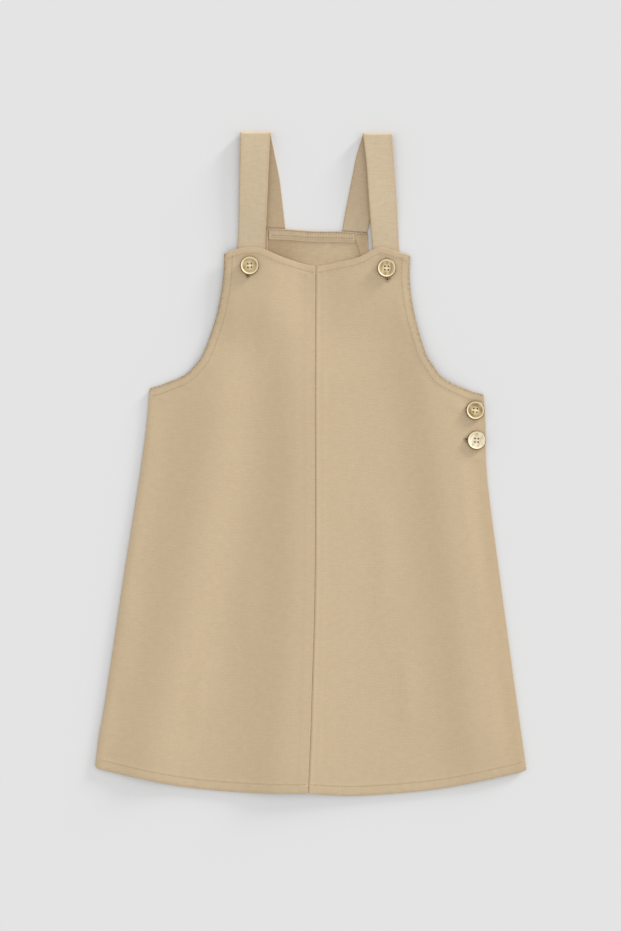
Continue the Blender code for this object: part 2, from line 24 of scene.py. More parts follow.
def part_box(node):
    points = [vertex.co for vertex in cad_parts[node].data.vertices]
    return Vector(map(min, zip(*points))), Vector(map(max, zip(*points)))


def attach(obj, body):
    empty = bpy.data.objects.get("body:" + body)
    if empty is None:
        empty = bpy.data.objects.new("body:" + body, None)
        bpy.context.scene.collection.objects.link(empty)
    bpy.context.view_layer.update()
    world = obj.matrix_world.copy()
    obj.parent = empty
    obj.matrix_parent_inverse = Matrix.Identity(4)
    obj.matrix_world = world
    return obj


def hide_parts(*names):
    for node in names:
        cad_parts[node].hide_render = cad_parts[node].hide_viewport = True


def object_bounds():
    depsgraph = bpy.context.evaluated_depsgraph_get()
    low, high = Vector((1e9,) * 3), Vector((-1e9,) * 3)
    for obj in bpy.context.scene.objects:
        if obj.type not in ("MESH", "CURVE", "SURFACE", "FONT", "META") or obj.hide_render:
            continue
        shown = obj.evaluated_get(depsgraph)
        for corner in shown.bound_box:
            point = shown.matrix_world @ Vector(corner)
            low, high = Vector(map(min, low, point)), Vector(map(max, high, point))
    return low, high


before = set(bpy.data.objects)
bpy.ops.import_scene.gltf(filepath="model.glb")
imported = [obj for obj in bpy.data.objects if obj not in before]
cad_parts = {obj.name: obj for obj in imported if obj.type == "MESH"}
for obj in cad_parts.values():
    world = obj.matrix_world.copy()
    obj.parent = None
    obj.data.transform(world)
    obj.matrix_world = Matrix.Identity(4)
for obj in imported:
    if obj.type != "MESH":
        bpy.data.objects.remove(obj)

LOG = logging.getLogger("pinafore_dress")
MM = 0.001  # metres in a millimetre

CAD_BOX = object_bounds()
HEM_Y = CAD_BOX[0].y / MM  # the lowest point of the hem, in the frame
FOLD_Y = (CAD_BOX[1].y - CAD_BOX[0].y) / MM  # the folds of the straps, above the hem
BACK_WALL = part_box("back_panel")[1].z / MM
GAP = 0.3  # clear space between layers
FRONT_WALL = 1.2  # of the solid front
STRAP_WALL = 1.2

CLOTH = 1.02  # thickness of the front's cloth
SEAM_GAP = 0.08  # between the halves of the front
INNER_EDGE = 0.8  # the back lies this far inside the front's sides and hem
INNER_EDGE_RISE = 60.0  # the back's sides come up to its hem over this height
HEM_SETBACK = -0.1  # a hem on the back covers its edge by this much
NECK_HEM_DEPTH = 10.5
HEM_GAP = 0.12  # between the back and the hems on it
HEM_MEETING = 0.45  # between the ends of the neck hem and the armhole hems
HEM_FOOT = 488.0  # the armhole hems on the back end at this height
UNDER_ROOM = 0.16  # how far the back's outer face lies above the surface between its hems
PAINTED_EDGE_SHADE_REACH = 0.9  # how far in from an edge the painted edge shade reaches

CORNER_STEPS = 5  # points on the rounding of a corner
BEND_SLACK = 0.05  # how much closer than its offset a parallel path may come
STRIDE = 8  # how many segments of a long path lie from one mark to the next
BATCH = 3000  # how many points are measured at once

Surface = Callable[[np.ndarray], np.ndarray]
Socket = bpy.types.NodeSocket
Feed = Socket | float | tuple[float, ...]
Colour = tuple[int, int, int]
Spot = tuple[float, float]
Span = tuple[float, float]  # a range, from its first value to its last
Faces = list[tuple[int, ...]]


class Edge(Enum):
    """An edge of a cut piece."""

    HEM = "hem"
    SIDE = "side"
    OTHER_SIDE = "other_side"
    ARMHOLE = "armhole"
    OTHER_ARMHOLE = "other_armhole"
    NECK = "neck"
    SEAM = "seam"


class Hand(Enum):
    """A side of the dress, as one looks down on it."""

    LEFT = -1.0
    RIGHT = 1.0


class Face(Enum):
    """A face of a piece of cloth as it lies."""

    UPPER = 1.0
    LOWER = -1.0


class Slot(Enum):
    """A material slot's name."""

    CLOTH = "cloth"
    STRAP = "strap_cloth"
    BUTTON = "button"
    THREAD = "thread"


class Point(NamedTuple):
    """A named place on an outline."""

    name: str
    x: float
    y: float


# ---- outlines ----

HEM_CORNER_LEFT = Point("hem_corner", -204.0, 28.0)
HEM_CORNER_RIGHT = Point("hem_corner", 204.2, 24.4)
UNDERARM_LEFT = Point("underarm", -152.5, 385.3)
UNDERARM_RIGHT = Point("underarm", 163.8, 379.4)
BIB_CORNER_LEFT = Point("bib_corner", -81.8, 512.8)
BIB_CORNER_RIGHT = Point("bib_corner", 94.3, 510.8)
BACK_CORNER_LEFT = Point("back_corner", -50.0, 536.8)
BACK_CORNER_RIGHT = Point("back_corner", 53.9, 532.5)
SEAM_FOOT = Point("seam_foot", -2.5, 2.1)
SEAM_TOP = Point("seam_top", 4.8, 500.5)

SIDE_LEFT = (
    HEM_CORNER_LEFT,
    Point("above_hem", -200.3, 57.0),
    Point("low_skirt", -194.4, 91.0),
    Point("mid_skirt", -176.6, 209.0),
    Point("hip", -161.8, 303.0),
    Point("waist", -155.4, 351.0),
    UNDERARM_LEFT,
)
SIDE_RIGHT = (
    HEM_CORNER_RIGHT,
    Point("low_skirt", 194.7, 91.0),
    Point("mid_skirt", 178.6, 209.0),
    Point("hip", 167.0, 300.0),
    Point("waist", 165.4, 350.0),
    UNDERARM_RIGHT,
)
ARMHOLE_LEFT = (
    UNDERARM_LEFT,
    Point("flat_end", -140.4, 388.9),
    Point("bend_low", -120.0, 397.5),
    Point("bend", -109.6, 406.9),
    Point("bend_high", -101.2, 419.5),
    Point("chest", -89.2, 453.8),
    Point("below_corner", -83.1, 487.0),
    BIB_CORNER_LEFT,
)
ARMHOLE_RIGHT = (
    UNDERARM_RIGHT,
    Point("flat_end", 148.5, 383.7),
    Point("bend_low", 126.0, 394.4),
    Point("bend", 115.7, 406.8),
    Point("bend_high", 107.4, 422.2),
    Point("chest", 96.9, 461.0),
    Point("below_corner", 93.4, 492.0),
    BIB_CORNER_RIGHT,
)
NECK_LEFT = (
    BIB_CORNER_LEFT,
    Point("strap_outer", -69.4, 517.1),
    Point("crown", -56.5, 518.8),
    Point("strap_inner", -45.5, 517.3),
    Point("slope", -29.0, 510.4),
    Point("low_slope", -10.6, 504.2),
    SEAM_TOP,
)
NECK_RIGHT = (
    SEAM_TOP,
    Point("low_slope", 22.0, 503.9),
    Point("slope", 44.0, 508.9),
    Point("strap_inner", 57.7, 516.0),
    Point("crown", 66.5, 518.7),
    Point("strap_outer", 81.0, 515.0),
    BIB_CORNER_RIGHT,
)
HEM_LEFT = (
    HEM_CORNER_LEFT,
    Point("outer", -194.6, 23.8),
    Point("half", -122.1, 8.7),
    Point("inner", -60.0, 3.0),
    SEAM_FOOT,
)
HEM_RIGHT = (
    SEAM_FOOT,
    Point("lowest", 38.0, 0.0),
    Point("inner", 86.0, 2.6),
    Point("half", 131.3, 8.0),
    Point("outer", 190.0, 20.2),
    HEM_CORNER_RIGHT,
)
CENTRE_SEAM = (
    SEAM_FOOT,
    Point("above_hem", -0.3, 52.4),
    Point("low_skirt", 0.9, 90.3),
    Point("hip", 4.1, 213.4),
    Point("chest", 4.1, 393.0),
    SEAM_TOP,
)
BACK_ARMHOLE_LEFT = (
    UNDERARM_LEFT,
    Point("flat_end", -129.0, 387.8),
    Point("bend_low", -110.0, 397.0),
    Point("bend", -95.0, 412.0),
    Point("chest", -71.0, 445.0),
    Point("below_strap", -53.0, 482.0),
    BACK_CORNER_LEFT,
)
BACK_ARMHOLE_RIGHT = (
    UNDERARM_RIGHT,
    Point("flat_end", 138.0, 383.6),
    Point("bend_low", 119.6, 393.4),
    Point("bend", 104.4, 406.6),
    Point("chest", 76.5, 442.0),
    Point("below_strap", 57.5, 480.0),
    BACK_CORNER_RIGHT,
)
BACK_TOP = (
    BACK_CORNER_LEFT,
    Point("strap_left", -25.3, 536.1),
    Point("middle", 3.0, 534.1),
    Point("strap_right", 29.6, 533.8),
    BACK_CORNER_RIGHT,
)


# ---- plane geometry ----

def smooth_step(low: float, high: float, value: np.ndarray | float) -> np.ndarray:
    """Ease a value from 0 at low to 1 at high, which may be the smaller one."""
    share = np.clip((np.asarray(value) - low) / (high - low), 0.0, 1.0)
    return share * share * (3.0 - 2.0 * share)


def swell_at(away: np.ndarray, reach: float, power: int = 2) -> np.ndarray:
    """Return a soft swell that is 1 in its middle and fades within its reach."""
    return np.exp(-(np.abs(away) / reach) ** power)


@dataclass(frozen=True)
class Path:
    """A run of points in the plane of the cloth."""

    points: np.ndarray

    @classmethod
    def smooth(cls, table: Sequence[Sequence[float]], steps: int = 14) -> "Path":
        """Draw a Catmull-Rom curve.

        Args:
            table: The points that the curve passes, as rows of numbers.
            steps: How many points each stretch between two of them gets.

        Returns:
            The smooth path.
        """
        knots = np.array(table, float)
        first, last = 2.0 * knots[0] - knots[1], 2.0 * knots[-1] - knots[-2]
        knots = np.vstack([first, knots, last])
        share = np.linspace(0.0, 1.0, steps, endpoint=False)[:, None]
        runs = []
        for a, b, c, d in zip(knots, knots[1:], knots[2:], knots[3:]):
            bend = (2.0 * a - 5.0 * b + 4.0 * c - d) * share ** 2
            bend = bend + (3.0 * b - a - 3.0 * c + d) * share ** 3
            runs.append(0.5 * (2.0 * b + (c - a) * share + bend))
        return cls(np.vstack([*runs, knots[-2]]))

    @classmethod
    def through(cls, table: Sequence[Point]) -> "Path":
        """Draw the smooth path through a table of named points."""
        return cls.smooth([(point.x, point.y) for point in table])

    @classmethod
    def closed(cls, loop: np.ndarray) -> "Path":
        """Return the path once round a loop."""
        return cls(np.vstack([loop, loop[:1]]))

    @property
    def places(self) -> np.ndarray:
        """The distance from the start of the path to each of its points."""
        spans = np.linalg.norm(np.diff(self.points, axis=0), axis=1)
        return np.concatenate([[0.0], np.cumsum(spans)])

    @property
    def length(self) -> float:
        """The length of the path."""
        return float(self.places[-1])

    def at(self, places: np.ndarray) -> np.ndarray:
        """Return the points at these distances along the path."""
        own = self.places
        return np.stack([np.interp(places, own, column) for column in self.points.T], axis=1)

    def flipped(self) -> "Path":
        """Return the path from its end to its start."""
        return Path(self.points[::-1])

    def shifted(self, x: float | np.ndarray, y: float | np.ndarray = 0.0) -> "Path":
        """Return the path with its points moved by x and y."""
        return Path(self.points + np.stack(np.broadcast_arrays(x, y), axis=-1))

    def cut(self, start: float, end: float, gap: float = 1.0) -> "Path":
        """Take a stretch of the path between two places, with points about a gap apart."""
        count = max(int(round((end - start) / gap)), 2)
        return Path(self.at(np.linspace(start, end, count + 1)))

    def moved(self, offset: float, gap: float = 1.2) -> "Path":
        """Draw a path beside this one.

        Args:
            offset: How far it lies to the left of the way the path runs.
            gap: About how far apart its points lie.

        Returns:
            The parallel path, without the points that a bend brings too close.
        """
        even = self.cut(0.0, self.length, gap).points
        run = np.gradient(even, axis=0)
        run /= np.linalg.norm(run, axis=1)[:, None]
        beside = even + np.stack([-run[:, 1], run[:, 0]], axis=1) * offset
        return Path(beside[self.nearest(beside)[0] > abs(offset) - BEND_SLACK])

    def nearest(self, points: np.ndarray) -> tuple[np.ndarray, np.ndarray]:
        """Measure how points lie to the path.

        Args:
            points: The points, as rows of x and y.

        Returns:
            Each point's distance from the path, and the place along it that is nearest.
        """
        starts, spans, places = self.points[:-1], np.diff(self.points, axis=0), self.places
        squares = np.maximum((spans ** 2).sum(axis=1), 1e-12)
        count = len(spans)
        around = np.arange(count)[None]
        if count >= 12 * STRIDE:  # only the segments around the nearest mark are measured
            marks = np.arange(0, count, STRIDE)[:, None]
            around = np.clip(marks + np.arange(-STRIDE - 2, STRIDE + 3), 0, count - 1)
        middles = starts[around[:, len(around[0]) // 2]]
        away, along = [], []
        for part in np.array_split(points, max(len(points) // BATCH, 1)):
            square = ((part[:, None] - middles) ** 2).sum(axis=2)
            tried = around[square.argmin(axis=1)]
            delta = part[:, None] - starts[tried]
            share = np.clip((delta * spans[tried]).sum(axis=2) / squares[tried], 0.0, 1.0)
            square = ((delta - share[..., None] * spans[tried]) ** 2).sum(axis=2)
            best = np.arange(len(part)), square.argmin(axis=1)
            segment = tried[best]
            away.append(np.sqrt(square[best]))
            along.append(places[segment] + share[best] * np.sqrt(squares[segment]))
        return np.concatenate(away), np.concatenate(along)


def encloses(loop: np.ndarray, points: np.ndarray) -> np.ndarray:
    """Tell which points lie inside a closed loop.

    Args:
        loop: The loop's corners, as rows of x and y.
        points: The points to test.

    Returns:
        True for each point that is inside.
    """
    start, end = loop, np.roll(loop, -1, axis=0)
    inside = np.zeros(len(points), bool)
    close = ((points > loop.min(axis=0)) & (points < loop.max(axis=0))).all(axis=1)
    for part in np.array_split(np.flatnonzero(close), max(len(points) // BATCH, 1)):
        x, y = points[part, 0, None], points[part, 1, None]
        spans = (start[:, 1] > y) != (end[:, 1] > y)
        rise = np.where(end[:, 1] == start[:, 1], 1.0, end[:, 1] - start[:, 1])
        cross = start[:, 0] + (y - start[:, 1]) * (end[:, 0] - start[:, 0]) / rise
        inside[part] = (spans & (x < cross)).sum(axis=1) % 2 == 1
    return inside


def closed_loop(edges: Sequence[Path], corner: float, gap: float) -> np.ndarray:
    """Join edges into one loop with its corners rounded.

    Args:
        edges: The edges in order, anticlockwise, each starting where the last one ends.
        corner: How far before and after a corner its rounding starts.
        gap: About how far apart the points of the loop lie.

    Returns:
        The points of the loop, without a double one at its end.
    """
    trimmed = [edge.cut(corner, edge.length - corner, gap).points for edge in edges]
    share = np.linspace(0.0, 1.0, CORNER_STEPS + 2)[1:-1, None]
    runs = []
    for edge, run, following in zip(edges, trimmed, trimmed[1:] + trimmed[:1]):
        bend = run[-1] * (1.0 - share) ** 2 + 2.0 * edge.points[-1] * share * (1.0 - share)
        runs += [run, bend + following[0] * share ** 2]
    return np.vstack(runs)


def in_frame(points: np.ndarray, heights: np.ndarray) -> np.ndarray:
    """Place points of the tables, with y above the hem, in the frame and in metres."""
    return np.column_stack([points[:, 0], points[:, 1] + HEM_Y, heights]) * MM


# ---- how the layers lie ----

@dataclass(frozen=True)
class Fold:
    """A long soft swell of the front, with its crest on a curve through three points."""

    name: str
    low: Spot
    middle: Spot
    top: Spot
    reach_left: float
    reach_right: float
    rise: float
    fade: float = 90.0

    def relief(self, points: np.ndarray) -> np.ndarray:
        """Work out the swell.

        Args:
            points: The points, as rows of x and y.

        Returns:
            How far it lifts the cloth at each point.
        """
        knots, y = (self.low, self.middle, self.top), points[:, 1]
        crest = np.zeros(len(points))
        for x_own, y_own in knots:
            weight = np.ones(len(points))
            for _, y_other in knots:
                if y_other != y_own:
                    weight *= (y - y_other) / (y_own - y_other)
            crest += x_own * weight
        across = points[:, 0] - crest
        across /= np.where(across < 0.0, self.reach_left, self.reach_right)
        along = smooth_step(0.0, self.fade, y - self.low[1])
        along = along * smooth_step(0.0, self.fade, self.top[1] - y)
        return self.rise * along * np.exp(-across ** 2)


@dataclass(frozen=True)
class Lift:
    """A soft rise of the front over what is beneath it."""

    name: str
    x: float
    y: float
    reach_x: float
    reach_y: float
    rise: float

    def relief(self, points: np.ndarray) -> np.ndarray:
        """Return how far it lifts the cloth at each point."""
        away = (points - (self.x, self.y)) / (self.reach_x, self.reach_y)
        return self.rise * np.exp(-away[:, 0] ** 4 - away[:, 1] ** 4)


@dataclass(frozen=True)
class Crease:
    """A small ridge, or a trough where its rise is below 0, along a bent line."""

    name: str
    start: Spot
    middle: Spot
    end: Spot
    reach: float
    rise: float
    taper: float = 0.35  # the share of its length over which each end fades

    def relief(self, points: np.ndarray) -> np.ndarray:
        """Work out the ridge.

        Args:
            points: The points, as rows of x and y.

        Returns:
            How far it lifts the cloth at each point.
        """
        line = Path.smooth((self.start, self.middle, self.end), 8)
        reach = 3.0 * self.reach
        low, high = line.points.min(axis=0) - reach, line.points.max(axis=0) + reach
        close = ((points > low) & (points < high)).all(axis=1)
        lifted = np.zeros(len(points))
        if close.any():
            away, along = line.nearest(points[close])
            share = along / line.length
            ends = smooth_step(0.0, self.taper, share)
            ends = ends * smooth_step(1.0, 1.0 - self.taper, share)
            lifted[close] = self.rise * ends * swell_at(away, self.reach)
        return lifted


FOLDS = (
    Fold("left_of_centre", (-172.0, -40.0), (-101.0, 280.0), (-75.0, 455.0), 31.0, 29.0, 3.3),
    Fold("along_the_seam", (-38.0, -60.0), (-12.0, 223.0), (-20.0, 480.0), 30.0, 56.0, 3.4),
    Fold("right_of_centre", (163.0, -20.0), (126.0, 299.0), (93.0, 500.0), 25.0, 40.0, 2.4),
)
SIDE_FADE = 26.0  # the width over which the folds come down to the side seams
LIFTS = (
    Lift("over_left_strap_end", -54.0, 500.0, 38.0, 62.0, 3.2),
    Lift("over_right_strap_end", 60.0, 500.0, 38.0, 56.0, 1.45),
)
FRONT_CREASES = (
    Crease("below_neck_row", (-22.5, 496.8), (-9.0, 494.6), (1.8, 491.4), 2.2, 0.34),
    Crease("bib_edge_left", (-81.0, 492.0), (-75.0, 493.6), (-67.5, 498.6), 2.6, 0.36),
    Crease("under_side_button", (151.0, 321.5), (157.5, 319.2), (165.0, 320.6), 3.2, 0.32),
    Crease("underarm_left", (-149.0, 374.6), (-134.0, 377.0), (-118.0, 384.0), 2.6, 0.2),
    Crease("underarm_right", (160.0, 354.0), (140.0, 366.0), (122.0, 380.0), 5.0, 0.24),
    Crease("bib_left_long", (-72.0, 484.0), (-74.0, 462.0), (-80.0, 440.0), 5.0, 0.26),
    Crease("bib_right_long", (84.0, 480.0), (86.0, 455.0), (95.0, 425.0), 5.0, 0.28),
    Crease("bib_middle", (-34.0, 488.0), (-40.0, 455.0), (-48.0, 405.0), 8.0, 0.34),
    Crease("skirt_left", (-168.0, 210.0), (-172.0, 150.0), (-182.0, 80.0), 9.0, 0.4),
    Crease("skirt_left_low", (-92.0, 150.0), (-104.0, 105.0), (-112.0, 52.0), 9.0, 0.45),
    Crease("skirt_middle", (-52.0, 250.0), (-60.0, 190.0), (-58.0, 120.0), 10.0, 0.3),
    Crease("skirt_right", (62.0, 300.0), (70.0, 220.0), (64.0, 140.0), 12.0, 0.5),
    Crease("skirt_right_low", (84.0, 150.0), (92.0, 100.0), (90.0, 48.0), 10.0, 0.45),
    Crease("skirt_right_edge", (166.0, 220.0), (172.0, 160.0), (184.0, 90.0), 8.0, 0.35),
)
BACK_CREASES = (
    Crease("left_long", (-120.0, 300.0), (-128.0, 210.0), (-146.0, 110.0), 9.0, 0.26),
    Crease("middle_long", (-20.0, 380.0), (-12.0, 260.0), (-26.0, 130.0), 11.0, 0.3),
    Crease("right_long", (104.0, 340.0), (112.0, 240.0), (138.0, 120.0), 10.0, 0.26),
    Crease("waist", (-96.0, 352.0), (-60.0, 344.0), (-22.0, 350.0), 5.0, 0.2),
    Crease("hip_right", (50.0, 300.0), (74.0, 290.0), (100.0, 296.0), 5.0, 0.2),
    Crease("below_top", (-26.0, 516.0), (4.0, 512.0), (34.0, 515.0), 4.0, 0.2),
)
# painted shade: darker patches on the front, over its right side and in a hollow left of the
# middle
PAINTED_FRONT_SHADES = (
    Crease("right_side", (214.0, -90.0), (182.0, 170.0), (164.0, 440.0), 17.0, 1.2),
    Crease("left_hollow", (-80.0, -60.0), (-66.0, 110.0), (-44.0, 330.0), 17.0, 0.35),
)
SOFT_FLOOR = 0.12  # how gently the front meets the layer beneath it
FOLD_LOFT = 0.2  # how much more the soft cloth swells in a fold than its solid
ROLL_RISES = (0.7, 0.38)  # of the swells beside the left and the right side seam
ROLL_CREST = 5.0  # how far inside the seam they are highest
ROLL_REACH = 26.0
ROLL_TOP = 376.0  # where they end below the underarms
ROLL_FADE = 40.0
STRAP_SHADE = (0.8, 0.15)  # painted shade, from 0 to 1, on the hems under the left and the right strap
STRAP_SHADE_END = (41.0, 49.0)  # right of this, the right hem gets all of that painted shade
NECK_SHADE_ACROSS = (24.0, -34.0)  # the back gets more painted shade from right to left,
NECK_SHADE_BELOW = (529.0, 523.0)  # below the neck hem
NECK_SHADE_ABOVE = (440.0, 480.0)  # and above the bib's shelter
NECK_SHADE_POWER = 1.6


def relief_of(forms: Sequence[Fold | Lift | Crease], points: np.ndarray) -> np.ndarray:
    """Return how far several forms lift the cloth at each point."""
    return sum(form.relief(points) for form in forms)


def inside_sides(points: np.ndarray) -> np.ndarray:
    """Measure how far points lie inside the nearer side of the dress.

    Args:
        points: The points, as rows of x and y.

    Returns:
        The distance of each, measured across the dress.
    """
    away = []
    for side, inward in ((SIDE_LEFT, 1.0), (SIDE_RIGHT, -1.0)):
        _, x, y = zip(*side)
        away.append(inward * (points[:, 0] - np.interp(points[:, 1], y, x)))
    return np.minimum(*away)


def raised_front(points: np.ndarray) -> np.ndarray:
    """Return how far the front stands above the place where it would lie flat."""
    flat = smooth_step(0.0, SIDE_FADE, inside_sides(points))
    return relief_of(FOLDS, points) * flat + relief_of(LIFTS, points)


def side_roll(points: np.ndarray) -> np.ndarray:
    """Work out how the front swells beside its side seams, over their allowances.

    Args:
        points: The points, as rows of x and y.

    Returns:
        How far it swells at each point.
    """
    inside = inside_sides(points)
    swell = smooth_step(0.0, ROLL_CREST, inside) * smooth_step(ROLL_REACH, ROLL_CREST, inside)
    rise = np.where(points[:, 0] < 0.0, *ROLL_RISES)
    return rise * swell * smooth_step(ROLL_TOP, ROLL_TOP - ROLL_FADE, points[:, 1])


def front_rest(points: np.ndarray) -> np.ndarray:
    """Work out how the front lies.

    Args:
        points: The points, as rows of x and y.

    Returns:
        The height of its lower face at each point.
    """
    raised = raised_front(points) + side_roll(points)
    raised += FOLD_LOFT * (raised_front(points) - relief_of(LIFTS, points))
    raised += relief_of(FRONT_CREASES, points)
    raised = 0.5 * (raised + np.sqrt(raised ** 2 + SOFT_FLOOR ** 2))
    return BACK_WALL + GAP + raised


def solid_top(points: np.ndarray) -> np.ndarray:
    """Return the height of the solid front's upper face, on which the buttons lie."""
    return BACK_WALL + GAP + raised_front(points) + FRONT_WALL


def back_rest(points: np.ndarray) -> np.ndarray:
    """Return the height of the back's lower face, which lies on the surface."""
    return relief_of(BACK_CREASES, points)


def on_back(points: np.ndarray) -> np.ndarray:
    """Return the height of a hem's lower face on the back."""
    return np.full(len(points), BACK_WALL + HEM_GAP)


def painted_front_shade(points: np.ndarray) -> np.ndarray:
    """Return the painted shade on the front at each point, from 0 to 1, along its right side and
    in a hollow left of the middle.
    """
    return np.clip(relief_of(PAINTED_FRONT_SHADES, points), 0.0, 1.0)


def painted_strap_shade(points: np.ndarray) -> np.ndarray:
    """Work out the painted shade of the straps on the armhole hems.

    Args:
        points: The points, as rows of x and y.

    Returns:
        The painted shade on a hem at each point, from 0 to 1.
    """
    left, right = STRAP_SHADE
    bare = smooth_step(*STRAP_SHADE_END, points[:, 0])
    return np.where(points[:, 0] < 0.0, left, right + (1.0 - right) * bare)


def painted_neck_shade(points: np.ndarray) -> np.ndarray:
    """Work out the painted shade inside the neck of the back.

    Args:
        points: The points, as rows of x and y.

    Returns:
        The painted shade on the cloth at each point, from 0 to 1.
    """
    across = smooth_step(*NECK_SHADE_ACROSS, points[:, 0]) ** NECK_SHADE_POWER
    below_hem = smooth_step(*NECK_SHADE_BELOW, points[:, 1])
    return across * below_hem * smooth_step(*NECK_SHADE_ABOVE, points[:, 1])


# ---- shader nodes ----

class NodeSheet:
    """A node tree, with short calls that add nodes and join them."""

    def __init__(self, tree: bpy.types.NodeTree) -> None:
        """Take the tree that the nodes go into."""
        self.tree = tree

    def feed(self, socket: Socket, value: Feed) -> None:
        """Join a socket to another one, or set its plain value.

        Args:
            socket: The socket.
            value: The other socket, or the value.
        """
        if isinstance(value, Socket):
            self.tree.links.new(value, socket)
        else:
            socket.default_value = value

    def node(self, kind: str, inputs: dict[str | int, Feed] | None = None,
             **settings: object) -> bpy.types.Node:
        """Add a node.

        Args:
            kind: Blender's name of the node type.
            inputs: What goes into its inputs.
            **settings: The node's own properties.

        Returns:
            The new node.
        """
        made = self.tree.nodes.new(kind)
        for name, setting in settings.items():
            setattr(made, name, setting)
        for place, value in (inputs or {}).items():
            self.feed(made.inputs[place], value)
        return made

    def math(self, operation: str, *values: Feed) -> Socket:
        """Work out a number by Blender's operation of this name."""
        return self.node("ShaderNodeMath", dict(enumerate(values)), operation=operation).outputs[0]

    def attribute(self, name: str, output: str = "Fac") -> Socket:
        """Read what is kept for each vertex under a name."""
        return self.node("ShaderNodeAttribute", attribute_name=name).outputs[output]

    def noise(self, vector: Feed, scale: float, detail: float = 2.0,
              rough: float = 0.5) -> Socket:
        """Read a noise of this many lumps on a unit, about 0.5 on average."""
        inputs = {"Vector": vector, "Scale": scale, "Detail": detail, "Roughness": rough}
        return self.node("ShaderNodeTexNoise", inputs).outputs["Fac"]

    def placed(self, vector: Feed, scale: tuple[float, float, float], **more: Feed) -> Socket:
        """Return coordinates scaled by a factor on each axis, and turned or moved by more."""
        inputs = {"Vector": vector, "Scale": scale, **more}
        return self.node("ShaderNodeMapping", inputs).outputs["Vector"]

    def millimetres(self) -> Socket:
        """Return the place on the object, in millimetres."""
        place = self.node("ShaderNodeTexCoord").outputs["Object"]
        return self.placed(place, (1.0 / MM,) * 3)

    def mix(self, share: Feed, first: Feed, second: Feed, blend: str = "MIX") -> Socket:
        """Mix a share of the second colour into the first, in Blender's way of this name."""
        inputs = {"Factor": share, "A": first, "B": second}
        return self.node("ShaderNodeMix", inputs, data_type="RGBA",
                         blend_type=blend).outputs["Result"]

    def spread(self, value: Feed, low: float, high: float, start: float = 0.0,
               end: float = 1.0) -> Socket:
        """Map a value's range from low to high onto that from start to end, and clamp it."""
        inputs = {"Value": value, "From Min": low, "From Max": high, "To Min": start,
                  "To Max": end}
        return self.node("ShaderNodeMapRange", inputs).outputs["Result"]

    def bump(self, *steps: tuple[Feed, float]) -> Socket:
        """Join heights to one normal.

        Args:
            *steps: Each height and the size of its relief, in millimetres.

        Returns:
            The normal.
        """
        inputs = {"Strength": 1.0}
        for height, size in steps:
            inputs |= {"Height": height, "Distance": size * MM}
            inputs["Normal"] = self.node("ShaderNodeBump", inputs).outputs["Normal"]
        return inputs["Normal"]


VALUE, VECTOR, COLOUR = "NodeSocketFloat", "NodeSocketVector", "NodeSocketColor"
NOISE_SPREAD = (0.3, 0.7)  # where most of a noise's values lie


class Effect:
    """A shader node group that several materials use."""

    name: str
    takes: dict[str, str]
    gives: dict[str, str]

    def draw(self, sheet: NodeSheet, taken: bpy.types.NodeOutputs) -> tuple[Socket, ...]:
        """Make the group's nodes.

        Args:
            sheet: The group's node sheet.
            taken: What the group takes.

        Returns:
            What the group gives, in order.
        """
        raise NotImplementedError

    def tree(self) -> bpy.types.NodeTree:
        """Build the group, the first time.

        Returns:
            The node group.
        """
        if self.name in bpy.data.node_groups:
            return bpy.data.node_groups[self.name]
        tree = bpy.data.node_groups.new(self.name, "ShaderNodeTree")
        for in_out, sockets in (("INPUT", self.takes), ("OUTPUT", self.gives)):
            for name, kind in sockets.items():
                tree.interface.new_socket(name=name, in_out=in_out, socket_type=kind)
        sheet = NodeSheet(tree)
        given = self.draw(sheet, sheet.node("NodeGroupInput").outputs)
        sheet.node("NodeGroupOutput", dict(zip(self.gives, given)))
        return tree

    def place(self, sheet: NodeSheet, **values: Feed) -> bpy.types.NodeOutputs:
        """Put the group into a material with these values, and return its outputs."""
        return sheet.node("ShaderNodeGroup", values, node_tree=self.tree()).outputs


class PlainWeave(Effect):
    """Threads that pass over and under each other, one by one."""

    name = "plain weave"
    takes = {"Grain": VECTOR, "Pitch": VALUE}
    gives = {"Height": VALUE, "Gap": VALUE}
    WOBBLE_SCALE = 0.35
    WOBBLE = 2.0  # how far the threads wander, in pitches
    BEND = 0.5  # how much of its height a thread loses where it dips
    GAP_HEIGHTS = (0.1, 0.5)  # below the first it is all gap, above the second none

    def draw(self, sheet: NodeSheet, taken: bpy.types.NodeOutputs) -> tuple[Socket, ...]:
        """Make the group's nodes.

        Args:
            sheet: The group's node sheet.
            taken: Where the threads run, and how far apart.

        Returns:
            The height of the threads, and the gaps between them.
        """
        parts = sheet.node("ShaderNodeSeparateXYZ", {0: taken["Grain"]}).outputs
        wobble = sheet.noise(taken["Grain"], self.WOBBLE_SCALE, 1.0)
        cells, humps = [], []
        for axis in range(2):
            place = sheet.math("DIVIDE", parts[axis], taken["Pitch"])
            place = sheet.math("MULTIPLY_ADD", wobble, self.WOBBLE, place)
            cells.append(sheet.math("FLOOR", place))
            turn = sheet.math("MULTIPLY", sheet.math("FRACT", place), math.pi)
            humps.append(sheet.math("SINE", turn))
        odd = sheet.math("FLOORED_MODULO", sheet.math("ADD", *cells), 2.0)
        layers = []
        for over, along in (humps, humps[::-1]):
            bent = sheet.math("MULTIPLY_ADD", along, self.BEND, 1.0 - self.BEND)
            layers.append(sheet.math("MULTIPLY", sheet.math("SQRT", over), bent))
        inputs = {"Factor": odd, "A": layers[0], "B": layers[1]}
        height = sheet.node("ShaderNodeMix", inputs, data_type="FLOAT").outputs["Result"]
        return height, sheet.spread(height, *self.GAP_HEIGHTS, 1.0, 0.0)


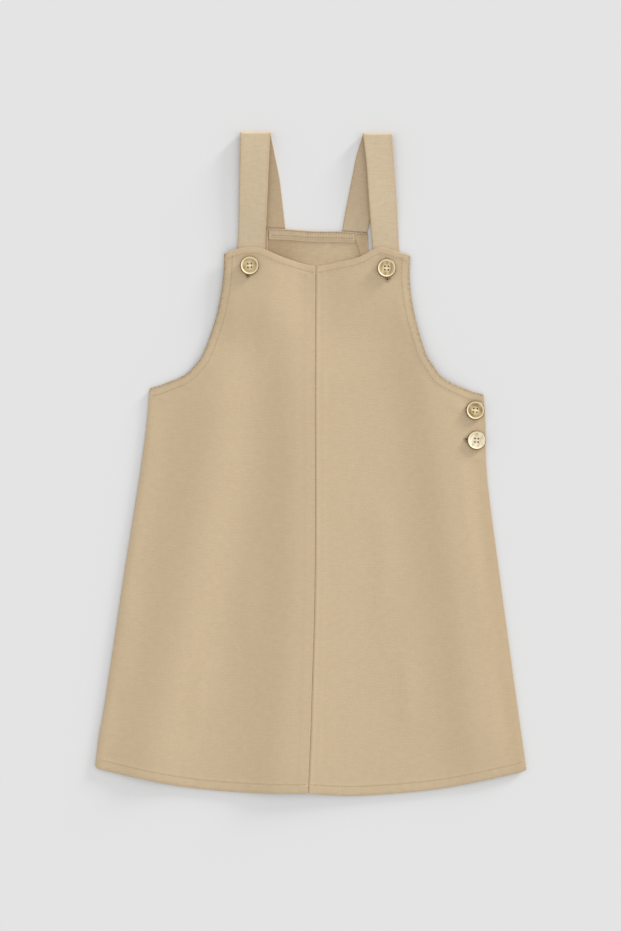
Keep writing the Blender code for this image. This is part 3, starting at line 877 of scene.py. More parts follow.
class Slub(Effect):
    """Threads that are here and there a little thicker, both ways of the cloth."""

    name = "slub"
    takes = {"Grain": VECTOR}
    gives = {"Tone": VALUE}
    WARP_SCALE = (0.9, 0.045, 0.0)
    WEFT_SCALE = (0.11, 0.85, 0.0)
    WARP_SHARE = 0.45
    WEFT_SHARE = 1.55  # the weft shows more
    SPREAD = (0.6, 1.4)  # where most values lie

    def draw(self, sheet: NodeSheet, taken: bpy.types.NodeOutputs) -> tuple[Socket, ...]:
        """Make the group's nodes.

        Args:
            sheet: The group's node sheet.
            taken: Where the threads run.

        Returns:
            How thick they are, from -1 to 1.
        """
        warp = sheet.noise(sheet.placed(taken["Grain"], self.WARP_SCALE), 1.0)
        weft = sheet.noise(sheet.placed(taken["Grain"], self.WEFT_SCALE), 1.0)
        both = sheet.math("MULTIPLY", weft, self.WEFT_SHARE)
        both = sheet.math("MULTIPLY_ADD", warp, self.WARP_SHARE, both)
        return (sheet.spread(both, *self.SPREAD, -1.0, 1.0),)


class Mottle(Effect):
    """Washed unevenness, from broad clouds to the fuzz of single fibres."""

    name = "mottle"
    takes = {"Grain": VECTOR}
    gives = {"Clouds": VALUE, "Flecks": VALUE, "Fuzz": VALUE}
    NOISES = ((0.022, 2.0), (0.17, 3.0), (0.75, 2.0))  # the scale and detail of each
    ROUGH = 0.55
    SPREAD = (0.25, 0.75)

    def draw(self, sheet: NodeSheet, taken: bpy.types.NodeOutputs) -> tuple[Socket, ...]:
        """Make the group's nodes.

        Args:
            sheet: The group's node sheet.
            taken: Where the threads run.

        Returns:
            The clouds, the flecks and the fuzz, each from -1 to 1.
        """
        return tuple(
            sheet.spread(sheet.noise(taken["Grain"], *noise, self.ROUGH), *self.SPREAD, -1.0, 1.0)
            for noise in self.NOISES)


class Rub(Effect):
    """Painted shade along the edges of the cloth, broken up by a noise."""

    name = "painted_edge_shade"
    takes = {"Colour": COLOUR, "Grain": VECTOR, "Rubbed": VALUE, "Worn": COLOUR}
    gives = {"Colour": COLOUR}
    BREAK_SCALE = 0.4
    LEAST = 0.35  # how much of the painted edge shade its faintest patches get

    def draw(self, sheet: NodeSheet, taken: bpy.types.NodeOutputs) -> tuple[Socket, ...]:
        """Make the group's nodes.

        Args:
            sheet: The group's node sheet.
            taken: The cloth's colour and grain, how much painted edge shade it gets, and the
                colour of that shade.

        Returns:
            The colour with its painted edge shade.
        """
        broken = sheet.noise(taken["Grain"], self.BREAK_SCALE, 3.0)
        broken = sheet.spread(broken, *NOISE_SPREAD, self.LEAST)
        mask = sheet.math("MULTIPLY", taken["Rubbed"], broken)
        return (sheet.mix(mask, taken["Colour"], taken["Worn"]),)


def linear(colour: Colour) -> tuple[float, float, float, float]:
    """Turn an sRGB colour into linear numbers.

    Args:
        colour: The colour, out of 255.

    Returns:
        Its linear numbers, with alpha.
    """
    shares = (value / 255.0 for value in colour)
    return (*(share / 12.92 if share <= 0.04045 else ((share + 0.055) / 1.055) ** 2.4
              for share in shares), 1.0)


class Finish:
    """A surface finish, kept as one material."""

    name: str

    def paint(self, sheet: NodeSheet) -> dict[str, Feed]:
        """Make the material's nodes.

        Args:
            sheet: The material's node sheet.

        Returns:
            What goes into the shader's inputs.
        """
        raise NotImplementedError

    def material(self) -> bpy.types.Material:
        """Build the material, the first time.

        Returns:
            The material.
        """
        if self.name in bpy.data.materials:
            return bpy.data.materials[self.name]
        made = bpy.data.materials.new(self.name)
        made.use_nodes = True
        sheet, shader = NodeSheet(made.node_tree), made.node_tree.nodes["Principled BSDF"]
        for place, value in self.paint(sheet).items():
            sheet.feed(shader.inputs[place], value)
        return made


@dataclass(frozen=True)
class ClothFinish(Finish):
    """Washed cotton in a plain weave."""

    name: str
    colour: Colour
    deep: Colour
    painted_edge_shade_colour: Colour
    pitch: float = 0.46
    weave_relief: float = 0.042
    slub_relief: float = 0.022
    fuzz_relief: float = 0.03
    roughness: float = 0.88
    sheen: float = 0.12
    # painted shade: how far the mask kept under 'inner' darkens the cloth towards its deep colour
    painted_shade_depth: float = 0.12
    even_tone: float = 0.4  # the share of the deep colour in even cloth
    slub_tone: float = 0.15  # and how much more of it each of these brings
    cloud_tone: float = 0.05
    fleck_tone: float = 0.12
    fuzz_tone: float = 0.09
    # painted shade: the gaps between the threads are darker
    gap_shade_tone: float = 0.22
    fleck_roughness: float = 0.04

    def paint(self, sheet: NodeSheet) -> dict[str, Feed]:
        """Make the material's nodes.

        Args:
            sheet: The material's node sheet.

        Returns:
            What goes into the shader's inputs.
        """
        grain = sheet.attribute("grain", "Vector")
        weave = PlainWeave().place(sheet, Grain=grain, Pitch=self.pitch)
        slub = Slub().place(sheet, Grain=grain)["Tone"]
        mottle = Mottle().place(sheet, Grain=grain)
        tone = self.even_tone
        for layer, weight in (
                (slub, self.slub_tone), (mottle["Clouds"], self.cloud_tone),
                (mottle["Flecks"], self.fleck_tone), (mottle["Fuzz"], self.fuzz_tone),
                (weave["Gap"], self.gap_shade_tone)):
            tone = sheet.math("MULTIPLY_ADD", layer, weight, tone)
        deep = linear(self.deep)
        colour = sheet.mix(sheet.spread(tone, 0.0, 1.0), linear(self.colour), deep)
        # painted shade: the mask kept under 'inner' multiplies the colour towards the deep one
        inner = sheet.math("MULTIPLY", sheet.attribute("inner"), self.painted_shade_depth)
        colour = sheet.mix(inner, colour, deep, "MULTIPLY")
        # painted shade along the edges of the cloth
        painted_edge_shade = Rub().place(sheet, Colour=colour, Grain=grain, Rubbed=sheet.attribute("painted_edge_shade_mask"),
                          Worn=linear(self.painted_edge_shade_colour))
        return {
            "Base Color": painted_edge_shade["Colour"],
            "Roughness": sheet.math("MULTIPLY_ADD", mottle["Flecks"], self.fleck_roughness,
                                    self.roughness),
            "Specular IOR Level": 0.25,
            "Sheen Weight": self.sheen,
            "Sheen Roughness": 0.5,
            "Normal": sheet.bump((mottle["Fuzz"], self.fuzz_relief), (slub, self.slub_relief),
                                 (weave["Height"], self.weave_relief)),
        }


@dataclass(frozen=True)
class ThreadFinish(Finish):
    """Matching sewing thread, twisted from two plies."""

    name: str
    colour: Colour
    deep: Colour
    lay: float = 0.42
    twist_relief: float = 0.03
    even_tone: float = 0.75
    # painted shade: the grooves between the plies are darker than their crests
    twist_shade_tone: float = -0.5
    fuzz_scale: float = 2.5
    fuzz_tone: float = 0.4
    tones: Span = (0.3, 1.1)  # from all of the first colour to all of the deep one
    roughness: Span = (0.6, 0.75)

    def paint(self, sheet: NodeSheet) -> dict[str, Feed]:
        """Make the material's nodes.

        Args:
            sheet: The material's node sheet.

        Returns:
            What goes into the shader's inputs.
        """
        grain = sheet.millimetres()
        twist = sheet.node("ShaderNodeTexWave", {
            "Vector": grain, "Scale": 1.0 / self.lay, "Distortion": 1.2},
            bands_direction="DIAGONAL").outputs["Fac"]
        fuzz = sheet.noise(grain, self.fuzz_scale)
        tone = sheet.math("MULTIPLY_ADD", twist, self.twist_shade_tone, self.even_tone)
        tone = sheet.spread(sheet.math("MULTIPLY_ADD", fuzz, self.fuzz_tone, tone), *self.tones)
        return {
            "Base Color": sheet.mix(tone, linear(self.colour), linear(self.deep)),
            "Roughness": sheet.spread(fuzz, *NOISE_SPREAD, *self.roughness),
            "Sheen Weight": 0.2,
            "Normal": sheet.bump((twist, self.twist_relief)),
        }


@dataclass(frozen=True)
class HornFinish(Finish):
    """Horn-look resin, marbled in the dish and pale on the rim, with a painted highlight in the
    middle and painted shade round the edge.
    """

    name: str
    colour: Colour
    deep: Colour
    rim: Colour
    seed: float
    # painted shade: a dark line round the button's edge, as the shade where it meets the cloth
    edge: Colour = (96, 68, 34)
    # painted highlight: the middle of the dish is paler, as a reflection on its polished face
    middle: Colour = (246, 228, 188)
    highlight_start: float = 1.4
    highlight_end: float = 4.6
    cloud: float = 0.5
    vein: float = 0.5
    vein_scale: float = 0.07
    vein_bend: float = 9.0
    cloud_scale: float = 0.3
    tones: Span = (0.3, 1.1)
    roughness: Span = (0.3, 0.42)
    rim_start: float = 6.7
    outline_shade_start: float = 8.05
    band_blur: float = 0.4
    scratch_relief: float = 0.006

    def paint(self, sheet: NodeSheet) -> dict[str, Feed]:
        """Make the material's nodes.

        Args:
            sheet: The material's node sheet.

        Returns:
            What goes into the shader's inputs.
        """
        grain = sheet.millimetres()
        parts = sheet.node("ShaderNodeSeparateXYZ", {0: grain}).outputs
        squares = [sheet.math("POWER", parts[axis], 2.0) for axis in ("X", "Y")]
        radius = sheet.math("SQRT", sheet.math("ADD", *squares))
        drift = sheet.placed(grain, (1.0, 0.45, 1.0), Rotation=(0.0, 0.0, 0.6 * self.seed),
                             Location=(self.seed, -self.seed, 0.5 * self.seed))
        veins = sheet.node("ShaderNodeTexWave", {
            "Vector": drift, "Scale": self.vein_scale, "Distortion": self.vein_bend,
            "Detail": 3.0, "Detail Scale": 0.6}).outputs["Fac"]
        clouds = sheet.noise(drift, self.cloud_scale, 4.0, 0.6)
        tone = sheet.math("ADD", sheet.math("MULTIPLY", veins, self.vein),
                          sheet.spread(clouds, *NOISE_SPREAD, 0.0, 2.0 * self.cloud))
        tone = sheet.spread(tone, *self.tones)
        colour = sheet.mix(tone, linear(self.colour), linear(self.deep))
        # painted highlight in the middle of the dish
        off_highlight = sheet.spread(radius, self.highlight_start, self.highlight_end)
        colour = sheet.mix(off_highlight, linear(self.middle), colour)
        # the rim's pale colour, then painted shade round the button's edge
        for start, band in ((self.rim_start, self.rim), (self.outline_shade_start, self.edge)):
            on_band = sheet.spread(radius, start, start + self.band_blur)
            colour = sheet.mix(on_band, colour, linear(band))
        scratches = sheet.noise(sheet.placed(grain, (6.0, 0.8, 1.0)), 1.0, 3.0)
        return {
            "Base Color": colour,
            "Roughness": sheet.spread(clouds, *NOISE_SPREAD, *self.roughness),
            "Coat Weight": 0.15,
            "Coat Roughness": 0.3,
            "Normal": sheet.bump((scratches, self.scratch_relief)),
        }


@dataclass(frozen=True)
class FloorFinish(Finish):
    """A plain pale studio floor."""

    name: str
    colour: Colour
    roughness: Span = (0.9, 0.96)

    def paint(self, sheet: NodeSheet) -> dict[str, Feed]:
        """Make the material's nodes.

        Args:
            sheet: The material's node sheet.

        Returns:
            What goes into the shader's inputs.
        """
        cloud = sheet.noise(sheet.node("ShaderNodeTexCoord").outputs["Object"], 3.0)
        return {
            "Base Color": linear(self.colour),
            "Roughness": sheet.spread(cloud, *NOISE_SPREAD, *self.roughness),
            "Specular IOR Level": 0.0,
        }


# The third colour of each cloth is its painted edge shade, darker than the cloth itself.
FRONT_FINISH = ClothFinish("front_cotton", (207, 186, 154), (190, 168, 135), (116, 88, 54))
INNER_FINISH = ClothFinish("inner_cotton", (208, 187, 156), (178, 154, 121), (168, 140, 102),
                           painted_shade_depth=0.33)
# painted light: the straps are the front's cotton, made lighter where they stand up
LIT_STRAP_FINISH = ClothFinish("strap_cotton_painted_light", (216, 198, 169), (190, 168, 136), (176, 148, 110),
                           painted_shade_depth=0.38)
ROW_THREAD = ThreadFinish("row_thread", (194, 172, 138), (172, 149, 114))
NECK_THREAD = ThreadFinish("neck_thread", (150, 125, 90), (122, 98, 66))
BUTTON_THREAD = ThreadFinish("button_thread", (226, 208, 170), (188, 166, 124))
FLOOR_FINISH = FloorFinish("pale_floor", (228, 228, 228))


# ---- pieces ----

def linked(name: str, data: bpy.types.ID) -> bpy.types.Object:
    """Put something into the scene as an object.

    Args:
        name: The object's name.
        data: Its mesh, light or camera.

    Returns:
        The object.
    """
    made = bpy.data.objects.new(name, data)
    bpy.context.scene.collection.objects.link(made)
    return made


def new_mesh(name: str, points: np.ndarray, faces: Faces) -> bpy.types.Mesh:
    """Make a mesh.

    Args:
        name: Its name.
        points: Its vertices, in metres.
        faces: Its faces, as rows of vertex numbers.

    Returns:
        The mesh.
    """
    mesh = bpy.data.meshes.new(name)
    mesh.from_pydata(points.tolist(), [], faces)
    return mesh


def keep(mesh: bpy.types.Mesh, name: str, values: np.ndarray) -> None:
    """Keep a number or a vector for each vertex of a mesh, for its finish to read.

    Args:
        mesh: The mesh.
        name: The name to keep them under.
        values: The numbers, or rows of three of them.
    """
    kind, place = ("FLOAT", "value") if values.ndim == 1 else ("FLOAT_VECTOR", "vector")
    kept = mesh.attributes.new(name, kind, "POINT").data
    kept.foreach_set(place, values.astype(np.float32).ravel())


def shown_piece(name: str, mesh: bpy.types.Mesh, finish: Finish,
                nodes: Sequence[str] = ()) -> bpy.types.Object:
    """Put a finished mesh into the scene as a piece of the dress.

    Args:
        name: The piece's name.
        mesh: Its mesh, in metres.
        finish: Its finish.
        nodes: The solids that the piece stands for.

    Returns:
        The piece.
    """
    mesh.materials.append(finish.material())
    mesh.shade_smooth()
    piece = linked(name, mesh)
    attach(piece, "root")
    if nodes:
        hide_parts(*nodes)
    LOG.info("%s: %d vertices, %d faces", name, len(mesh.vertices), len(mesh.polygons))
    return piece


@dataclass(frozen=True)
class Band:
    """A turned hem or facing along an edge, held down by a stitch row."""

    edge: Edge
    row: float
    rise: float = 0.16
    groove: float = 0.2
    groove_reach: float = 0.62
    fall: Span = (2.1, 0.5)  # past the row, from where to where the band comes down
    ripple: float = 0.05
    ripple_length: float = 17.0
    ripple_reach: float = 7.0
    ripple_crest: float = 0.6  # of the band's width
    ripple_drift: Spot = (1.7, 0.37)  # how much, and how often, the ripples change their length

    def relief(self, away: np.ndarray, along: np.ndarray) -> np.ndarray:
        """Work out how the band stands out.

        Args:
            away: Each point's distance from the edge.
            along: Each point's place along the edge.

        Returns:
            How far the cloth stands out at each point.
        """
        foot, top = (self.row + step for step in self.fall)
        body = self.rise * smooth_step(foot, top, away)
        pull = self.groove * swell_at(away - self.row, self.groove_reach)
        turn = 2.0 * math.pi * along / self.ripple_length
        much, often = self.ripple_drift
        wave = self.ripple * np.sin(turn + much * np.sin(often * turn))
        crest = self.ripple_crest * self.row
        return body - pull + wave * swell_at(away - crest, self.ripple_reach, 1)

    def contours(self) -> tuple[float, ...]:
        """Return the distances from the edge at which the relief needs points."""
        return tuple(self.row + step for step in (-1.7, -0.85, -0.4, 0.0, 0.4, 0.85, 1.5, 2.3))


@dataclass(frozen=True)
class SeamLip:
    """The folded edge that stands up beside a seam, over its allowance."""

    edge: Edge
    rise: float
    crest: float = 1.0
    fall: float = 3.2
    allowance: float = 9.0
    allowance_rise: float = 0.1
    allowance_fall: float = 1.6

    def relief(self, away: np.ndarray, along: np.ndarray) -> np.ndarray:
        """Work out how the lip stands out.

        Args:
            away: Each point's distance from the seam.
            along: Each point's place along the seam, which changes nothing.

        Returns:
            How far the cloth stands out at each point.
        """
        lip = self.rise * smooth_step(0.0, self.crest, away)
        lip = lip * smooth_step(self.fall + self.crest, self.crest, away)
        foot = self.allowance + self.allowance_fall
        return lip + self.allowance_rise * smooth_step(foot, self.allowance, away)

    def contours(self) -> tuple[float, ...]:
        """Return the distances from the seam at which the relief needs points."""
        return (*(self.crest + step for step in (0.6, 1.5, 2.6)),
                *(self.allowance + step for step in (-0.4, 0.8, 2.0)))


@dataclass(frozen=True)
class Slit:
    """The cut of a buttonhole."""

    name: str
    start: Spot
    end: Spot
    half_width: float = 0.45
    steps: int = 24

    def loop(self) -> np.ndarray:
        """Draw the cut.

        Returns:
            The points of its outline, pointed at both ends.
        """
        start, span = np.array(self.start), np.subtract(self.end, self.start)
        across = np.array([-span[1], span[0]]) / np.linalg.norm(span)
        share = np.linspace(0.0, 1.0, self.steps + 1)
        middle = start + share[:, None] * span
        width = self.half_width * np.clip(4.0 * np.sin(math.pi * share), 0.0, 1.0)
        width = width[:, None] * across
        return np.vstack([middle + width, (middle - width)[-2:0:-1]])


Forms = Sequence[Band | SeamLip]


@dataclass
class ClothPiece:
    """A cut piece of cloth, as a closed shell that is rounded at its edges."""

    name: str
    nodes: tuple[str, ...]
    edges: dict[Edge, Path]
    rest: Surface
    finish: ClothFinish
    rests_on: tuple[str, ...]
    thickness: float = CLOTH
    corner: float = 1.6
    rim: float = 0.5
    grid: float = 2.6
    under_grid: float = 6.0
    bands: Forms = ()
    slits: tuple[Slit, ...] = ()
    under_bands: Forms = ()
    # painted shade for the upper face, from 0 to 1, or none
    painted_shade: Surface | None = None
    clearance: float = 0.02
    boundary_gap: float = 1.2
    slit_gap: float = 0.8
    rim_steps: tuple[float, ...] = (0.06, 0.3, 0.65, 1.0)
    relief_clear: float = 1.9  # how far relief lines keep from edges, in rims
    line_slack: float = 0.04
    point_clear: float = 0.03
    grid_clear: float = 0.62  # how far the grid keeps from lines, in its own steps
    painted_edge_shade_share: float = 0.2  # how much painted shade an edge gets
    armhole_painted_edge_shade_share: float = 0.8  # and how much more at an armhole
    row_painted_edge_shade_cut: float = 0.35  # how much less along a row
    row_reach: float = 0.7
    painted_edge_shade_range: Span = (-0.4, 1.0)

    def __post_init__(self) -> None:
        """Draw the outline and the cuts."""
        self.loop = closed_loop(list(self.edges.values()), self.corner, self.boundary_gap)
        self.loops = [self.loop, *(slit.loop() for slit in self.slits)]

    def from_edge(self, points: np.ndarray) -> np.ndarray:
        """Return each point's distance from the nearest edge or cut."""
        return np.min([Path.closed(loop).nearest(points)[0] for loop in self.loops], axis=0)

    def standing(self, points: np.ndarray, forms: Forms) -> np.ndarray:
        """Return how far bands and lips make the cloth stand out at each point."""
        forms = [form.relief(*self.edges[form.edge].nearest(points)) for form in forms]
        return sum(forms, np.zeros(len(points)))

    def faces(self, points: np.ndarray) -> tuple[np.ndarray, np.ndarray]:
        """Work out the heights of the two faces.

        Args:
            points: The points, as rows of x and y.

        Returns:
            The heights of the upper and the lower face.
        """
        low = self.rest(points)
        high = low + self.thickness + self.standing(points, self.bands)
        low = low + UNDER_ROOM * bool(self.under_bands)
        low = np.maximum(low - self.standing(points, self.under_bands), self.clearance)
        middle = 0.5 * (low + high)
        share = np.clip(self.from_edge(points) / self.rim, 0.0, 1.0)
        round_edge = np.sqrt(1.0 - (1.0 - share) ** 2)
        return middle + (high - middle) * round_edge, middle + (low - middle) * round_edge

    def upper(self, points: np.ndarray) -> np.ndarray:
        """Return the height of the upper face at each point."""
        return self.faces(points)[0]

    def lower(self, points: np.ndarray) -> np.ndarray:
        """Return the height of the lower face at each point."""
        return self.faces(points)[1]

    def lines(self, forms: Forms) -> list[np.ndarray]:
        """Draw the lines along which a face needs points, beside its edges and cuts.

        Args:
            forms: The bands and lips whose relief needs them.

        Returns:
            The lines, cut where they come too close to an edge.
        """
        found = []
        for step in self.rim_steps:
            for loop in self.loops:
                side, gap = ((self.rim, self.boundary_gap) if loop is self.loop
                             else (-self.rim, self.slit_gap))
                found.append((Path.closed(loop).moved(side * step, gap), step * self.rim))
        for form in forms:
            edge = self.edges[form.edge]
            found += [(edge.moved(away), self.relief_clear * self.rim)
                      for away in form.contours()]
        kept = []
        for path, clear in found:
            line = path.points
            if len(line) > 1:
                bad = self.from_edge(line) <= clear - self.line_slack
                bad |= ~encloses(self.loop, line)
                kept += [run for run in np.split(line, np.flatnonzero(bad)) if len(run) > 2]
        firsts = np.vstack([run[:1] for run in kept])
        clear = encloses(self.loop, firsts) & (self.from_edge(firsts) > self.point_clear)
        return [run if good else run[1:] for run, good in zip(kept, clear)]

    def filling(self, taken: np.ndarray, grid: float) -> np.ndarray:
        """Lay a triangular grid inside the outline.

        Args:
            taken: The points that it keeps clear of.
            grid: The distance between its points.

        Returns:
            The grid's points.
        """
        low, high = self.loop.min(axis=0), self.loop.max(axis=0)
        rows = []
        for index, y in enumerate(np.arange(low[1], high[1], grid * math.sqrt(0.75))):
            x = np.arange(low[0] + (index % 2) * grid / 2.0, high[0], grid)
            rows.append(np.column_stack([x, np.full(len(x), y)]))
        points = np.vstack(rows)
        points = points[encloses(self.loop, points)]
        for loop in self.loops[1:]:
            points = points[~encloses(loop, points)]
        tree = KDTree(len(taken))
        for index, point in enumerate(taken):
            tree.insert((*point, 0.0), index)
        tree.balance()
        least = self.grid_clear * grid
        clear = [tree.find((*point, 0.0))[2] > least for point in points]
        return points[np.array(clear, bool)]

    def sheet_of_triangles(self, forms: Forms,
                           grid: float) -> tuple[np.ndarray, np.ndarray, np.ndarray]:
        """Fill the outline with triangles.

        Args:
            forms: The bands and lips whose relief needs points.
            grid: The distance between points away from the edges.

        Returns:
            The points, the triangles, and for each point its place on the edges or -1.
        """
        rows, joins, count = [*self.loops, *self.lines(forms)], [], 0
        for index, line in enumerate(rows):
            size = len(line)
            last = size if index < len(self.loops) else size - 1
            joins += [(count + step, count + (step + 1) % size) for step in range(last)]
            count += size
        on_edge = sum(len(loop) for loop in self.loops)
        points = np.vstack([*rows, self.filling(np.vstack(rows), grid)])
        found = delaunay_2d_cdt([Vector(point) for point in points], joins, [], 1, 1e-6)
        made, triangles = np.array([tuple(point) for point in found[0]]), np.array(found[2])
        kept = np.ones(len(triangles), bool)
        for loop in self.loops[1:]:
            kept &= ~encloses(loop, made[triangles].mean(axis=1))
        places = [next((origin for origin in origins if origin < on_edge), -1)
                  for origins in found[3]]
        return made, triangles[kept], np.array(places)

    def mesh(self) -> bpy.types.Mesh:
        """Make the shell, with its grain, its painted edge shade and its other painted shade.

        Returns:
            The mesh.
        """
        top, top_faces, top_places = self.sheet_of_triangles(self.bands, self.grid)
        base, base_faces, places = self.sheet_of_triangles(self.under_bands, self.under_grid)
        fresh = places < 0
        numbers = np.zeros(len(base), int)
        numbers[fresh] = len(top) + np.arange(fresh.sum())
        shared = {place: index for index, place in enumerate(top_places) if place >= 0}
        numbers[~fresh] = [shared[place] for place in places[~fresh]]
        faces = [*top_faces.tolist(), *numbers[base_faces[:, ::-1]].tolist()]
        plan = np.vstack([top, base[fresh]])
        heights = np.concatenate([self.upper(top), self.lower(base[fresh])])
        mesh = new_mesh(self.name, in_frame(plan, heights), faces)
        # painted shade along the edges, more at an armhole and less along a row
        painted_edge_shade_mask = self.painted_edge_shade_share * swell_at(self.from_edge(plan), PAINTED_EDGE_SHADE_REACH, 1)
        if Edge.ARMHOLE in self.edges:
            away = self.edges[Edge.ARMHOLE].nearest(plan)[0]
            painted_edge_shade_mask += self.armhole_painted_edge_shade_share * swell_at(away, PAINTED_EDGE_SHADE_REACH, 1)
        for form in self.bands:
            if isinstance(form, Band):
                away = self.edges[form.edge].nearest(plan)[0] - form.row
                painted_edge_shade_mask -= self.row_painted_edge_shade_cut * swell_at(away, self.row_reach)
        keep(mesh, "grain", np.column_stack([plan, np.zeros(len(plan))]))
        keep(mesh, "painted_edge_shade_mask", np.clip(painted_edge_shade_mask, *self.painted_edge_shade_range))
        # the painted shade goes on the upper face only, kept under 'inner'
        if self.painted_shade is not None:
            on_top = np.arange(len(plan)) < len(top)
            keep(mesh, "inner", np.where(on_top, self.painted_shade(plan), 0.0))
        return mesh

    def build(self, *sewing: "Sewing") -> None:
        """Make the piece and its threads.

        Args:
            *sewing: The threads that are sewn on it.
        """
        piece = shown_piece(self.name, self.mesh(), self.finish, self.nodes)
        threads = [rows.build() for rows in sewing]


# ---- sewing ----

@dataclass(frozen=True)
class RowPlan:
    """Where a stitch row runs along an edge, and how."""

    edge: Edge
    away: float
    pitch: float
    share: float = 0.8  # how much of a pitch the thread shows on this face
    ends: float = 0.8
    gap: float = 0.8
    inset: float = 0.6  # the least distance from the piece's edges

    def path(self, piece: ClothPiece) -> Path:
        """Draw the row's line on a piece.

        Args:
            piece: The piece.

        Returns:
            The line, short of the piece's edges.
        """
        line = piece.edges[self.edge].moved(self.away, self.gap).points
        inside = encloses(piece.loop, line) & (piece.from_edge(line) > self.inset)
        kept = Path(line[inside])
        return kept.cut(self.ends, kept.length - self.ends, self.gap)


@dataclass
class Sewing:
    """The threads of one piece of cloth, gathered into one mesh."""

    name: str
    surface: Surface
    face: Face = Face.UPPER
    radius: float = 0.24
    finish: ThreadFinish = ROW_THREAD
    sides: int = 8
    clearance: float = 0.02
    unevenness: float = 0.04
    satin: float = 0.2  # radius of a buttonhole's stitches
    satin_lean: float = 0.3  # how far one leans over the next, in pitches
    satin_gap: float = 0.05  # how far they start from the cut
    bar: float = 0.22  # radius of the bars at its ends
    bar_steps: tuple[float, ...] = (0.1, 0.5, 0.9)
    runs: list[tuple[np.ndarray, np.ndarray, np.ndarray]] = field(default_factory=list)

    # share of the stitch, share of the radius, and height in radii
    SECTIONS = ((0.0, 0.3, -0.9), (0.05, 0.75, -0.25), (0.2, 1.0, 0.35), (0.5, 1.0, 0.5),
                (0.8, 1.0, 0.35), (0.95, 0.75, -0.25), (1.0, 0.3, -0.9))

    def stitches(self, starts: np.ndarray, ends: np.ndarray, radius: float) -> None:
        """Add stitches of one thickness, each from its start to its end."""
        self.runs.append((starts, ends, np.full((len(starts), 1), radius)))

    def row(self, path: Path, pitch: float, share: float) -> None:
        """Add a row of stitches.

        Args:
            path: The line that the row follows.
            pitch: The distance from one stitch to the next.
            share: How much of it the thread shows on this face.
        """
        count = int(path.length / pitch)
        starts = np.arange(count) * path.length / max(count, 1)
        jitter = self.unevenness * pitch * np.sin(7.3 * np.arange(count))
        self.stitches(path.at(starts + jitter), path.at(starts + share * pitch), self.radius)

    def rows(self, piece: ClothPiece, plans: Sequence[RowPlan]) -> None:
        """Add the rows of a piece."""
        for plan in plans:
            self.row(plan.path(piece), plan.pitch, plan.share)

    def buttonhole(self, slit: Slit, width: float = 1.25, pitch: float = 0.44) -> None:
        """Add the satin stitches round a buttonhole, with a bar at each end.

        Args:
            slit: The cut that they hold.
            width: How far the stitches reach from it.
            pitch: The distance from one stitch to the next.
        """
        start, end = np.array(slit.start), np.array(slit.end)
        length = float(np.linalg.norm(end - start))
        run = (end - start) / length
        across = np.array([-run[1], run[0]])
        places = start + np.linspace(0.0, length, int(length / pitch))[:, None] * run
        reach = across * (slit.half_width + width)
        for side in (1.0, -1.0):
            near = places + side * across * (slit.half_width + self.satin_gap)
            far = places + side * reach + run * pitch * self.satin_lean
            self.stitches(near, far, self.satin)
        for tip, way in ((start, -1.0), (end, 1.0)):
            bars = tip + way * run * np.array(self.bar_steps)[:, None]
            self.stitches(bars - reach, bars + reach, self.bar)

    def build(self) -> bpy.types.Object:
        """Make the threads.

        Returns:
            Their piece.
        """
        start, end, radius = (np.vstack(parts) for parts in zip(*self.runs))
        run = end - start
        run = run / np.maximum(np.linalg.norm(run, axis=1), 1e-9)[:, None]
        side = np.column_stack([-run[:, 1], run[:, 0]])
        turns = 2.0 * math.pi * np.arange(self.sides) / self.sides
        rings = []
        for share, swell, height in self.SECTIONS:
            place = start + (end - start) * share
            level = self.surface(place)[:, None] + self.face.value * height * radius
            level = np.maximum(level, radius * swell + self.clearance)
            wide = np.cos(turns) * radius * swell
            plan = place[:, None] + side[:, None] * wide[..., None]
            tall = (level + np.sin(turns) * radius * swell)[..., None]
            rings.append(np.concatenate([plan, tall], axis=2))
        points = np.stack(rings, axis=1).reshape(-1, 3)
        faces = tube_faces(len(start), len(self.SECTIONS), self.sides)
        mesh = new_mesh(self.name, in_frame(points[:, :2], points[:, 2]), faces)
        return shown_piece(self.name, mesh, self.finish)


def tube_faces(tubes: int, sections: int, sides: int) -> Faces:
    """Join the rings of closed tubes.

    Args:
        tubes: How many tubes there are, one after another.
        sections: How many rings each has.
        sides: How many points are on a ring.

    Returns:
        The faces, as tuples of vertex numbers.
    """
    faces = []
    for first in range(0, tubes * sections * sides, sections * sides):
        last = first + (sections - 1) * sides
        for base in range(first, last, sides):
            for side in range(sides):
                near, far = base + side, base + (side + 1) % sides
                faces.append((near, far, far + sides, near + sides))
        faces.append(tuple(range(first + sides - 1, first - 1, -1)))
        faces.append(tuple(range(last, last + sides)))
    return faces


# ---- the dress ----

FRONT_ROWS = (RowPlan(Edge.NECK, 6.1, 2.5), RowPlan(Edge.ARMHOLE, 7.7, 2.6),
              RowPlan(Edge.HEM, 8.7, 2.9))
NECK_HEM_ROW = RowPlan(Edge.NECK, 6.3, 2.4, share=0.44)
ROOT_ROW = RowPlan(Edge.NECK, 1.3, 2.4, share=0.62, gap=0.6)  # it holds the straps' roots
BACK_ROWS = (RowPlan(Edge.HEM, 8.7, 2.9), RowPlan(Edge.ARMHOLE, 7.7, 2.6),
             RowPlan(Edge.OTHER_ARMHOLE, 7.7, 2.6), RowPlan(Edge.NECK, 6.3, 2.4))


